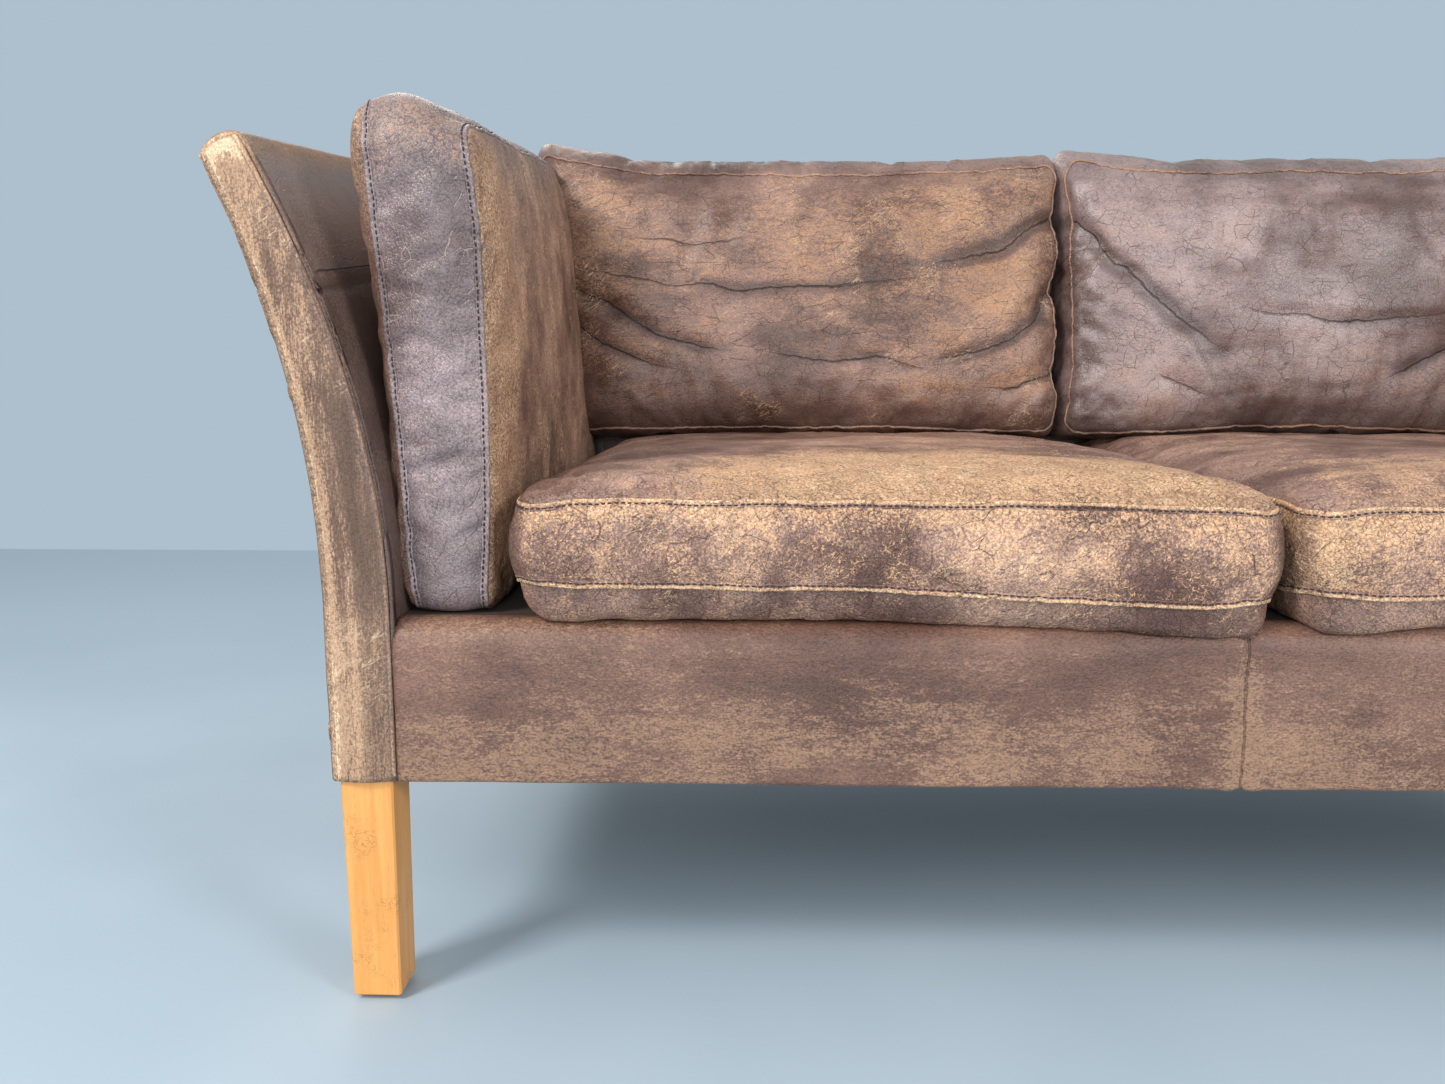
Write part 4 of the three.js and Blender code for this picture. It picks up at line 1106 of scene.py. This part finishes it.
def arm_leather(side, sheet):
    """The sheet's points with their waves and the seam's groove, its faces, and its worn marks with painted
    shade.
    """
    rows, columns = sheet.shape[:2]
    points = sheet.reshape(-1, 3)
    faces = outwards(points, joined_middle(rows, columns))
    row, column = np.divmod(np.arange(rows * columns), columns)
    depth = points[:, 1] - front
    inner = column > SIDE_POINTS + CROWN_POINTS - 2
    below = arm_top(np.clip(depth / ARM_LENGTH, 0, 1)) - points[:, 2]
    height = 3.0 * (cloud(points, 150, 71 + side, 2) - 0.5)
    height += 1.6 * (cloud(points, 30, 75 + side, 2) - 0.5) * np.exp(-((depth / 30) ** 2))
    groove = np.exp(-(((below - SEAM_BELOW_TOP) / 3) ** 2)) * inner * (depth > 4)
    points = points + (height - GROOVE * groove)[:, None] * surface_normals(points, faces)

    # The front border is worn, most at its top and its outer edge, and so is the top all along.
    to_edge = HALF_BORDER * (1 - (row + 1) / len(face)) + HALF_BORDER / len(face)
    outer_edge = np.exp(-((np.where(row < len(face), to_edge, depth) / 6) ** 2)) * ~inner
    on_border = 0.14 + 0.28 * ease(40, 8, below) + 0.1 * ease(300, 200, points[:, 2])
    wear = 0.34 + 0.4 * ease(22, 4, below) + 0.4 * outer_edge + on_border * (depth < 8)
    # Painted shade low on the inner side, behind the cushion, and in the seam's groove.
    shade_behind_cushion = 0.6 * ease(140, 230, below) * inner
    return points, faces, worn_marks(wear, np.maximum(groove, shade_behind_cushion))


def end_seam(word, sheet, end):
    """The lip and the stitches round an arm's front or rear, up the inner side."""
    step = -4 if end == "front" else 4
    outline = len(face) + 2 if end == "front" else len(sheet) - 1 - len(face) - 2
    first = SIDE_POINTS - 2
    seam = sheet[outline, first:-1]
    inward = sheet[outline + step, first:-1]
    outside = np.tile([[0.0, np.sign(step), 0.0]], (len(seam), 1))
    path, (toward, outside) = even_steps(seam, [unit(inward - seam), outside], SEAM_STEP, False)
    tangent, sideways, out = seam_frame(path, toward, outside, False)
    lip, lip_faces = swept(path, sideways, out, LAP * [1, 0.7], False, 0.5, 91)
    key = f"arm_{word}_{end}_lip"
    marks = worn_marks(lip_wear(LAP, 0.45, len(path)) + 0.35 * ease(600, 690, lip[:, 2]))
    lips[key] = make_piece(key, lip, lip_faces, marks, ())
    sew(path, sideways, out, False, height=0.5)


def top_seam(side, sheet):
    """Two rows of stitches, one on each side of the groove on an arm's inner side."""
    rows, columns = sheet.shape[:2]
    along = sheet[len(face) + len(turns) : rows - len(face) - len(turns)]
    top = arm_top(between)
    share_up = (top - SEAM_BELOW_TOP - body_bottom) / (top - WALL_CROWN - body_bottom)
    where = columns - 1 - share_up * (SIDE_POINTS - 1)
    low = np.floor(where).astype(int)
    part = (where - low)[:, None]
    number = np.arange(len(between))
    line = along[number, low] * (1 - part) + along[number, low + 1] * part
    beside = along[number, low + 6]
    inward = np.tile([[-float(side), 0.0, 0.0]], (len(line), 1))
    shown = slice(3, -30)  # what lies between the front border and the back
    for way in (-1, 1):
        upwards = way * unit(beside - line)
        path, (toward, into) = even_steps(line[shown], [upwards[shown], inward[shown]], SEAM_STEP, False)
        tangent, sideways, out = seam_frame(path, toward, into, False)
        sew(path, sideways, out, False, offset=5.0, height=0.4)


arms = {}
for side, word in [(-1, "left"), (1, "right")]:
    sheet = arm_sheet(side)
    rows, columns = sheet.shape[:2]
    points, faces, marks = arm_leather(side, sheet)
    kept, renumbered = np.unique(faces, return_inverse=True)
    marks = {key: values[kept] for key, values in marks.items()}
    arm_faces = renumbered.reshape(faces.shape)
    name = f"arm_{word}_leather"
    arms[word] = make_piece(name, points[kept], arm_faces, marks, [f"arm_cover_{word}"])
    row = np.arange(rows * columns) // columns
    on_end = (row < len(face)) | (row >= rows - len(face))
    for _ in range(2):
        arms[word].data.materials.append(None)
    arms[word].data.polygons.foreach_set("material_index", on_end[faces].any(1).astype(np.int32))
    sheet = points.reshape(rows, columns, 3)
    end_seam(word, sheet, "front")
    end_seam(word, sheet, "rear")
    top_seam(side, sheet)
    print(name, len(kept), "points")

# %% [markdown]
# Leather of the back.
# The same wall section is drawn along the back, from one arm to the other. Its ends follow the inner sides
# of the arms. A seam runs down the middle of the rear, because no hide is as long as a sofa.

# %% Leather of the back
share = np.linspace(-1, 1, 215)[:, None]
x = share * (0.55 + 0.45 * share**2)  # closer steps at the seam in the middle
out, up = wall_section(BACK, BACK_TOP + 0 * x, 0 * x)
middle, angle = wall_middle(ARM, up)
end = middle - wall_half(up, arm_top(0.9)) / np.cos(angle) - 0.8
grid = flat(x * end, out, up)
points = grid.reshape(-1, 3)
faces = outwards(points, grid_faces(*grid.shape[:2]))
normals = surface_normals(points, faces)
outer_side = np.tile(np.arange(grid.shape[1]) < SIDE_POINTS, len(grid))
height = 3.0 * (cloud(points, 190, 101, 2) - 0.5)
seam_line = np.exp(-((points[:, 0] / 3.5) ** 2)) * outer_side
height -= 1.8 * seam_line
points = points + height[:, None] * normals
wear = 0.25 + 0.5 * ease(26, 4, BACK_TOP - points[:, 2])
# The seam's groove down the middle of the rear also gets painted shade.
marks = worn_marks(wear, seam_line)
back = make_piece("back_leather", points, faces, marks, ["back_cover"])
print("the back's leather:", len(points), "points")

# %% [markdown]
# Leather of the front rail.
# The rail's leather comes from under the frame, goes up the front and over a round edge to the deck. It is
# one profile drawn from arm to arm, with a seam in the middle that pulls the leather in beside it.

# %% Leather of the front rail
HEM = 36.0  # width of the leather under the frame
FOLD = 3.0  # radius of the rail's lower edge
ON_DECK = 30.0  # how far the leather reaches back onto the deck
rail_end = box("front_rail_cover")[1][0]
bend = np.linspace(np.pi, np.pi / 2, 14)[1:]
small = np.linspace(-np.pi / 2, -np.pi, 5)
under = np.linspace(HEM, FOLD, 9)[:-1]
low = body_bottom + FOLD
high = deck_height - RAIL_ROUNDING
upright = np.linspace(low, high, 26)[1:-1]
onto_deck = np.linspace(RAIL_ROUNDING, ON_DECK, 4)[1:]
y = np.concatenate([under, FOLD + FOLD * np.cos(small), 0 * upright,
                    RAIL_ROUNDING + RAIL_ROUNDING * np.cos(bend), onto_deck])
z = np.concatenate([0 * under + body_bottom, low + FOLD * np.sin(small), upright,
                    high + RAIL_ROUNDING * np.sin(bend), 0 * onto_deck + deck_height])
x = np.linspace(-rail_end, rail_end, 320)[:, None]
grid = flat(x, front + y[None], z[None] + 0 * x)
points = grid.reshape(-1, 3)
faces = grid_faces(*grid.shape[:2])
normals = surface_normals(points, faces)
if normals[:, 1].mean() > 0:
    faces, normals = faces[:, ::-1], -normals
height = 2.0 * (cloud(points, 130, 111, 2) - 0.5)
from_seam = points[:, 0] + 5 * (cloud(points, 90, 113, 2) - 0.5)
height += 1.3 * np.exp(-(((np.abs(from_seam) - 9) / 7) ** 2)) - 1.6 * np.exp(-((from_seam / 4) ** 2))
points = points + height[:, None] * normals
points[:, 2] += 1.6 * (cloud(points, 70, 117, 2) - 0.5) * ease(230, 190, points[:, 2])
blotch = cloud(points * [0.5, 1, 1], 150, 121, 3)
wear = 0.37 + 0.16 * ease(275, 225, points[:, 2] + 70 * (blotch - 0.5)) - 0.2 * ease(0.5, 0.62, blotch)
wear += 0.16 * ease(18, 6, np.abs(from_seam)) + 0.06 * ease(0, -600, points[:, 0])
marks = worn_marks(wear)
# The seam in the middle is read as a large crease: besides its dent, the finish paints a line of shade along
# it.
marks["crease"] = from_seam
marks["strength"] = 0 * wear + 1
rail = make_piece("front_rail_leather", points, faces, marks, ["front_rail_cover"])
stitch_rows["frame_stitches"] = stitch_piece("frame_stitches")
LEATHER_THICKNESS = 3.5  # with its padding
for piece in [arms["left"], arms["right"], back, rail]:
    solidify = piece.modifiers.new("thickness", "SOLIDIFY")
    solidify.thickness = LEATHER_THICKNESS * MM
    solidify.offset = -1
print("the rail's leather:", len(points), "points")

# %% [markdown]
# Shader sums.
# A material's numbers come out of sockets. This class wraps a socket, so that a sum of such numbers can
# be written as a sum, and Python adds the Math nodes for it.

# %% Sockets that add up


class Value:
    """What a node's socket gives. Sums and products of numbers add Math nodes."""

    def __init__(self, finish, socket):
        self.finish = finish
        self.socket = socket

    def math(self, operation, *values):
        """A Math node for these values, of which one is this value itself."""
        return self.finish.add("Math", {"operation": operation}, dict(enumerate(values)))

    def __add__(self, other):
        return self.math("ADD", self, other)

    def __mul__(self, other):
        return self.math("MULTIPLY", self, other)

    def __sub__(self, other):
        return self.math("SUBTRACT", self, other)

    def __rsub__(self, other):
        return self.math("SUBTRACT", other, self)

    def __abs__(self):
        return self.math("ABSOLUTE", self)

    __radd__ = __add__
    __rmul__ = __mul__

    def rise(self, low, high):
        """0 below low, 1 above high, smooth between; low may be the higher one."""
        if low > high:
            return 1 - self.rise(high, low)
        settings = {"interpolation_type": "SMOOTHSTEP"}
        return self.finish.add("MapRange", settings, {"Value": self, "From Min": low, "From Max": high})


class Finish:
    """A material with its Principled shader, and the means to add nodes to it."""

    def __init__(self, name):
        self.material = bpy.data.materials.new(name)
        self.material.use_nodes = True
        self.tree = self.material.node_tree
        self.shader = self.tree.nodes["Principled BSDF"]

    def feed(self, socket, value):
        """Links a socket to a value, or sets it where the value is plain numbers."""
        if isinstance(value, Value):
            self.tree.links.new(value.socket, socket)
        else:
            socket.default_value = value

    def add(self, kind, settings=None, inputs=None, output=0):
        """Adds a node: its settings first, then the value or link of each socket."""
        node = self.tree.nodes.new("ShaderNode" + kind)
        for key, value in (settings or {}).items():
            setattr(node, key, value)
        for key, value in (inputs or {}).items():
            self.feed(node.inputs[key], value)
        return Value(self, node.outputs[output])

    def set(self, **inputs):
        """Feeds the shader's own sockets, whose names have an underscore for each space here."""
        for key, value in inputs.items():
            self.feed(self.shader.inputs[key.replace("_", " ")], value)

    def place(self):
        """Object coordinates, in metres."""
        return self.add("TexCoord", output="Object")

    def attribute(self, name):
        """A number that the mesh holds at each point."""
        return self.add("Attribute", {"attribute_name": name}, output="Fac")

    def scaled(self, vector, by):
        """A vector times another, part by part."""
        return self.add("VectorMath", {"operation": "MULTIPLY"}, {0: vector, 1: by})

    def moved(self, vector, by):
        """A vector plus another."""
        return self.add("VectorMath", {"operation": "ADD"}, {0: vector, 1: by})

    def turned(self, vector, degrees):
        """A vector turned about the three axes."""
        return self.add("Mapping", {}, {"Vector": vector, "Rotation": [np.radians(v) for v in degrees]})

    def noise(self, vector, size, detail=3.0, roughness=0.55, distortion=0.0):
        """Noise whose largest spots are this many millimetres across."""
        inputs = {"Vector": vector, "Scale": 1 / (size * MM), "Detail": detail}
        return self.add("TexNoise", {}, {**inputs, "Roughness": roughness, "Distortion": distortion})

    def cells(self, vector, size, feature="F1"):
        """Distance to a cell's middle or, for another feature, to its edge. size is in millimetres."""
        inputs = {"Vector": vector, "Scale": 1 / (size * MM)}
        return self.add("TexVoronoi", {"feature": feature}, inputs, "Distance")

    def warped(self, vector, size, by):
        """The same place, pushed about by up to this many millimetres."""
        push = self.add("TexNoise", {}, {"Vector": vector, "Scale": 1 / (size * MM), "Detail": 2.0}, "Color")
        centred = self.moved(push, (-0.5, -0.5, -0.5))
        return self.moved(vector, self.scaled(centred, [by * 2 * MM] * 3))

    def mix(self, share, first, second):
        """The first colour where share is 0, and the second where it is 1."""
        settings = {"data_type": "RGBA", "clamp_factor": True}
        return self.add("Mix", settings, {0: share, 6: first, 7: second}, 2)

    def bump(self, height, strength=1.0):
        """A bump whose height is in millimetres."""
        return self.add("Bump", {}, {"Height": height, "Distance": MM, "Strength": strength})


def tone(red, green, blue):
    """A colour written as it looks on a screen, 0 to 255, turned into the light it stands for."""
    light = [((v / 255 + 0.055) / 1.055) ** 2.4 for v in (red, green, blue)]
    return (*light, 1.0)


print("a middle grey of 128 stands for", round(tone(128, 128, 128)[0], 3), "of the light")

# %% [markdown]
# Worn leather.
# Old leather has a dark colour that is rubbed off its high points. Where it is worn, the tan hide shows on
# the grain and the dark colour stays in the creases. Where it isn't, it is smooth and shines. One function
# makes every leather here, from the same steps with other tones and strengths. It also paints shade into the
# colour along large creases, in seams, in gaps and in the valleys of folds.

# %% Leather


def net_lines(f, place, size, width, turn, stretch):
    """Fine creases: the edges of cells that are drawn out along a turned direction."""
    moved = f.scaled(f.turned(place, (0, turn, turn / 2)), (1 / stretch, 1, 1))
    return f.cells(moved, size, "DISTANCE_TO_EDGE").rise(width, 0.0)


def scratch_lines(f, place, turned, length, shift):
    """Short straight scratches: where noise that is drawn out along a turned direction is at its middle."""
    moved = f.moved(f.turned(place, turned), (shift, shift, shift))
    return abs(f.noise(f.scaled(moved, (1 / length, 1, 1)), 5.0, 1) - 0.5).rise(0.02, 0.0)


def leather(name, dark, middle, tan, pale, gloss, rubbed, network=1.0, crackle=0.0, scratches=0.5,
            streaks=(1, 1, 1), turn=0.0, grain=1.0, coat=0.15, crisp=0.2, lines=None, mottle=0.9):
    """A finish of four tones, from the dark colour to the bare hide.

    gloss and rubbed are the roughness of unworn and worn leather. network, crackle, scratches and grain
    are strengths. streaks stretches the rubbing, turn is the way in which most creases run, crisp is
    how soft the edges of rubbed spots are, lines is the tone of the fine creases and mottle is how
    patchy the rubbing is.
    """
    f = Finish(name)
    place = f.place()
    wear = f.attribute("wear")
    painted_shade = f.attribute("painted_shade")
    to_crease = abs(f.attribute("crease") + (f.noise(place, 9, 2) - 0.5) * 5)
    # A dark line is painted along each large crease as its shade. It also deepens the crease's bump.
    line = to_crease.rise(1.5, 0.2) * f.attribute("strength")
    deep = tuple(0.42 * part for part in dark[:3]) + (1.0,)

    # Spots of all sizes, from the whole panel's down to the grain's, and the grain's pebbles.
    fibre = f.scaled(place, streaks)
    broad = f.noise(place, 150, 3)
    some = f.noise(place, 70, 2)
    patch = f.noise(fibre, 42, 6, 0.62)
    fine = f.noise(fibre, 5, 3, 0.6)
    speck = f.noise(fibre, 1.6, 2, 0.7)
    pebble = f.cells(f.warped(place, 4, 0.5), 2.0)
    pores = pebble.rise(0.42, 0.75)

    # A net of fine creases in two sizes, each only in some places.
    bent = f.warped(place, 26, 5)
    net = net_lines(f, bent, 15, 0.03, turn, 2.8) * some.rise(0.38, 0.54)
    net = net + net_lines(f, bent, 8, 0.045, turn + 65, 2.0) * some.rise(0.6, 0.46) * 0.7
    net = net * f.noise(place, 18, 2).rise(0.4, 0.58) * network

    # How far the colour is rubbed off.
    rubbing = wear + (broad - 0.5) * 0.4 + (patch - 0.5) * mottle + (fine - 0.5) * 0.45
    rubbing = rubbing + (speck - 0.5) * 0.4 - pores * (0.1 * grain) - net * 0.1 - painted_shade * 0.15
    if crackle:
        cracks = f.cells(f.warped(place, 7, 2.5), 4.6, "DISTANCE_TO_EDGE").rise(0.1, 0.0)
        rubbing = rubbing + cracks * (0.3 * crackle) * f.noise(place, 24, 2).rise(0.42, 0.58)

    # The colour, from the dark tone up, then light and shade painted over the grain and in broad patches, and
    # painted shade in creases, seams and hollows.
    base = f.mix((broad * 0.6 + patch * 0.4).rise(0.34, 0.62), dark, middle)
    base = f.mix(rubbing.rise(0.52 - crisp, 0.52 + crisp), base, tan)
    base = f.mix(rubbing.rise(0.86 - crisp / 2, 0.9 + crisp), base, pale)
    shade = (fine - 0.5) * 0.4 + (speck - 0.5) * (1.7 * grain) + (some - 0.5) * 0.6
    shade = shade - pores * (0.3 * grain) + 1.1
    base = f.add("Mix", {"data_type": "RGBA", "blend_type": "MULTIPLY"}, {0: 1.0, 6: base, 7: shade}, 2)
    base = f.mix(net * 0.6, base, lines or deep)
    height = (fine - 0.5) * 0.35 + (patch - 0.5) * 0.9 - pebble * (0.4 * grain) - net * 0.5
    if crackle:
        worn_out = wear.rise(0.5, 0.7) * patch.rise(0.42, 0.56)
        base = f.mix(cracks * crackle * worn_out * 0.6, base, deep)
        height = height - cracks * (0.4 * crackle)
    # Painted shade: the dark line along large creases, and the shade that the mesh holds in folds, seams and
    # gaps.
    base = f.mix(line * 0.5 + painted_shade * 0.6, base, deep)

    # Scratches in two directions, most where the leather is worn.
    first = scratch_lines(f, place, (20, 35, 10), 9, 0.0)
    second = scratch_lines(f, place, (-35, 10, 60), 7, 3.7)
    marks = (first + second) * (some + (wear - 0.5) * 0.7).rise(0.5, 0.6)
    base = f.mix(marks * scratches, base, pale)

    rough = f.add("MapRange", {}, {"Value": rubbing.rise(0.3, 0.8), "To Min": gloss, "To Max": rubbed})
    height = height - line * 1.2 - marks * 0.1 + (speck - 0.5) * (0.4 * grain)
    f.set(Base_Color=base, Roughness=rough + (speck - 0.5) * 0.2, Normal=f.bump(height),
          Coat_Weight=rubbing.rise(0.75, 0.3) * coat, Coat_Roughness=0.42)
    return f.material


# %% [markdown]
# The leathers of this sofa.
# Dyed leather fades in its own way at each place. The arms' borders are rubbed to bare hide, the seats are
# the palest, one back cushion is still dark, with a cool painted sheen in its tones, and the arm cushions'
# fronts are nearly grey-violet.

# %% The leathers of this sofa
# The four tones of each leather, as they look on a screen.
TONES = {
    "arm_border": [(92, 66, 52), (144, 112, 92), (184, 146, 116), (228, 196, 160)],
    "arm": [(100, 77, 68), (128, 104, 95), (148, 117, 94), (196, 160, 128)],
    "rail": [(92, 61, 49), (130, 95, 79), (144, 110, 87), (180, 146, 114)],
    "seat": [(106, 72, 60), (186, 146, 128), (212, 165, 126), (252, 216, 174)],
    "back": [(86, 56, 43), (150, 117, 106), (170, 127, 94), (206, 166, 130)],
    # The right back cushion's middle tones are greyer and cooler than the left's, partly as a painted sheen.
    "back_dark": [(92, 66, 58), (162, 138, 134), (172, 136, 112), (206, 176, 152)],
    "arm_inner": [(110, 79, 65), (170, 134, 116), (194, 150, 116), (244, 206, 162)],
    "arm_cushion": [(96, 76, 74), (156, 136, 137), (176, 138, 114), (206, 174, 150)],
}
ACROSS = (0.4, 1, 1.2)  # rubbing that is drawn out from side to side
STRENGTHS = {
    "arm_border": dict(gloss=0.6, rubbed=0.75, network=0.2, streaks=(3.2, 3.2, 0.3), grain=0.9, coat=0.0,
                       crisp=0.13),
    "arm": dict(gloss=0.4, rubbed=0.6, network=0.5, scratches=0.2, mottle=0.4),
    "rail": dict(gloss=0.48, rubbed=0.66, network=0.12, scratches=0.35, streaks=(0.4, 1, 1.3), coat=0.1,
                 crisp=0.1, grain=0.9, mottle=0.7),
    "seat": dict(gloss=0.4, rubbed=0.68, network=1.1, crackle=1.0, turn=35.0, grain=1.1, crisp=0.15,
                 mottle=0.65),
    "back": dict(gloss=0.38, rubbed=0.6, network=0.9, crackle=0.3, scratches=0.8, streaks=ACROSS, turn=12.0,
                 grain=0.7, coat=0.3, mottle=0.6),
    "back_dark": dict(gloss=0.32, rubbed=0.5, network=0.9, crackle=0.2, scratches=0.35, streaks=ACROSS,
                      turn=80.0, grain=0.7, coat=0.5, mottle=0.7),
    "arm_inner": dict(gloss=0.46, rubbed=0.68, network=0.6, crackle=0.8, scratches=0.8, turn=60.0, grain=1.1,
                      mottle=0.45),
    "arm_cushion": dict(gloss=0.3, rubbed=0.54, network=1.4, scratches=0.25, turn=75.0, grain=1.1, coat=0.3,
                        lines=tone(170, 146, 138), mottle=0.6),
}
finishes = {}
for name, colours in TONES.items():
    finishes[name] = leather(name, *[tone(*colour) for colour in colours], **STRENGTHS[name])
    print("leather", name, "has", len(finishes[name].node_tree.nodes), "nodes")

# %% [markdown]
# Wood, thread and what is hidden.
# The legs are lacquered beech: rings of noise that is stretched along the wood, fine pores and a few dark
# scratches. The pieces that can't be seen from outside get plain colours with a little variation.

# %% Other finishes
thread_finish = Finish("thread")
thread_finish.set(Base_Color=tone(54, 42, 38), Roughness=0.7)
beech = Finish("lacquered_beech")
grain_place = beech.scaled(beech.place(), (1, 1, 0.06))
rings = beech.noise(grain_place, 9, 4, 0.6)
pores = beech.noise(beech.scaled(beech.place(), (1, 1, 0.1)), 0.9, 2)
tint = beech.mix(rings.rise(0.35, 0.65), tone(238, 170, 94), tone(226, 154, 80))
tint = beech.mix(pores.rise(0.6, 0.72) * 0.35, tint, tone(184, 116, 56))
scratch = beech.noise(beech.turned(beech.place(), (0, 25, 0)), 7, 5, 0.7, 1.2)
scratched = abs(scratch - 0.5).rise(0.012, 0.0) * beech.noise(beech.place(), 40, 2).rise(0.58, 0.68)
tint = beech.mix(scratched, tint, tone(70, 46, 30))
grain_height = rings * 0.08 - pores * 0.05
beech.set(Base_Color=tint, Roughness=0.3 + rings * 0.12, Normal=beech.bump(grain_height, 0.6))
plain = {}
for name, colour, rough in [
    ("frame_wood", (196, 166, 122), 0.8),
    ("webbing", (150, 128, 92), 0.9),
    ("deck_cloth", (60, 48, 42), 0.9),
    ("dust_cloth", (34, 34, 36), 0.95),
    ("glide_plastic", (94, 58, 42), 0.45),
    ("zinc_steel", (170, 170, 166), 0.35),
]:
    finish = Finish(name)
    speckle = finish.noise(finish.place(), 3, 3)
    lighter = tone(*[min(255, v * 1.15) for v in colour])
    finish.set(Base_Color=finish.mix(speckle, tone(*colour), lighter), Roughness=rough,
               Normal=finish.bump(speckle * 0.2))
    plain[name] = finish.material
    if name == "zinc_steel":
        finish.set(Metallic=1.0)
plain["lacquered_beech"] = beech.material
print("other finishes:", ", ".join(plain))

# %% [markdown]
# Every piece gets its finish.
# The frame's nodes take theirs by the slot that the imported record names. A cushion with two leathers, or an
# arm with its borders, has two materials, and a number at each face says which one it shows.


def dress(piece, material):
    """Gives a piece one material and no other."""
    piece.data.materials.clear()
    piece.data.materials.append(material)


slot_of = {entry["node"]: entry["material_slot"] for entry in frame["record"]["subparts"]}
for name, node in frame["nodes"].items():
    dress(node, plain.get(slot_of[name], finishes["arm"]))
leather_of = {"seat": "seat", "back": "back", "arm": "arm_inner"}
for name, piece in cushions.items():
    dark_one = name == "back_cushion_right"
    dress(piece, finishes["back_dark" if dark_one else leather_of[kind_of(name)]])
    if kind_of(name) == "arm":
        piece.data.materials.append(finishes["arm_cushion"])
        on_border = (grids[name]["zone"] == 0)[grids[name]["faces"]].any(1)
        piece.data.polygons.foreach_set("material_index", on_border.astype(np.int32))
leather_of_lip = {"seat": "seat", "back": "back", "arm": "arm_cushion"}
for name, piece in lips.items():
    on_frame = "cushion" not in name
    dress(piece, finishes["arm_border" if on_frame else leather_of_lip[kind_of(name)]])
for piece in arms.values():
    piece.data.materials[0] = finishes["arm"]
    piece.data.materials[1] = finishes["arm_border"]
dress(back, finishes["arm"])
dress(rail, finishes["rail"])
for name, piece in stitch_rows.items():
    dress(piece, thread_finish.material)
    "cushion_leather" if "cushion" in name else "frame_leather"
print("finished:", len(cushions) + len(lips) + len(arms) + len(stitch_rows) + 2, "new pieces")

# %% [markdown]
# Floor and light.
# The floor is a plain grey-blue, as in the photograph, and it ends some way behind the sofa, where a wall
# would start. A soft key light from the left and above gives the shadows, weaker ones come from the right,
# the front and behind, and the pale world fills the rest. A colour then shows about as it is written.

# %% Floor and light
FLOOR = 12000.0  # to the left, to the right and to the front
FLOOR_REAR = 1950.0
corners = flat(np.array([-FLOOR, FLOOR, FLOOR, -FLOOR]), np.array([-FLOOR, -FLOOR, FLOOR_REAR, FLOOR_REAR]))
floor = bpy.data.objects.new("floor", make_mesh("floor", corners, np.array([[0, 1, 2, 3]])))
bpy.context.scene.collection.objects.link(floor)
floor_finish = Finish("floor")
cloudy = floor_finish.noise(floor_finish.place(), 700, 3)
floor_tone = floor_finish.mix(cloudy.rise(0.3, 0.7), tone(174, 191, 204), tone(188, 204, 216))
# The floor gets darker towards the rear: painted shade.
far = floor_finish.add("SeparateXYZ", inputs={"Vector": floor_finish.place()}, output=1).rise(-1.0, 1.9)
floor_finish.set(Base_Color=floor_finish.mix(far, floor_tone, tone(158, 176, 190)), Roughness=0.75)
dress(floor, floor_finish.material)

world = bpy.data.worlds.new("world")
bpy.context.scene.world = world
world.use_nodes = True
tree = world.node_tree
seen = tree.nodes.new("ShaderNodeLightPath")
sky = tree.nodes["Background"]
wall = tree.nodes.new("ShaderNodeBackground")
choose = tree.nodes.new("ShaderNodeMixShader")
sky.inputs["Color"].default_value = (0.9, 0.96, 1.0, 1)
sky.inputs["Strength"].default_value = 0.64
wall.inputs["Color"].default_value = tone(174, 191, 205)
tree.links.new(seen.outputs["Is Camera Ray"], choose.inputs[0])
tree.links.new(sky.outputs[0], choose.inputs[1])
tree.links.new(wall.outputs[0], choose.inputs[2])
tree.links.new(choose.outputs[0], tree.nodes["World Output"].inputs["Surface"])


def area_light(name, place, aim, size, power, colour):
    """A square soft light that looks at a point."""
    data = bpy.data.lights.new(name, "AREA")
    data.energy = power
    data.size = size
    data.color = colour
    light = bpy.data.objects.new(name, data)
    light.location = place
    light.rotation_euler = (Vector(aim) - Vector(place)).to_track_quat("-Z", "Y").to_euler()
    bpy.context.scene.collection.objects.link(light)


area_light("key", (-2.3, -2.1, 2.6), (0, 0, 0.4), 0.9, 78, (1, 0.98, 0.95))
area_light("fill", (2.2, -2.6, 1.8), (0, 0, 0.4), 0.9, 50, (0.95, 0.98, 1))
area_light("front", (-0.6, -4.2, 0.9), (0, 0, 0.35), 1.6, 44, (0.88, 0.95, 1))
area_light("behind", (-1.6, 3.0, 3.2), (0, 0, 0.4), 1.6, 26, (1, 0.98, 0.95))
bpy.context.scene.view_settings.view_transform = "Standard"
print("lights:", len(bpy.data.lights))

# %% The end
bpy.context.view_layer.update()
print("ran in", round(time.perf_counter() - started, 1), "s")
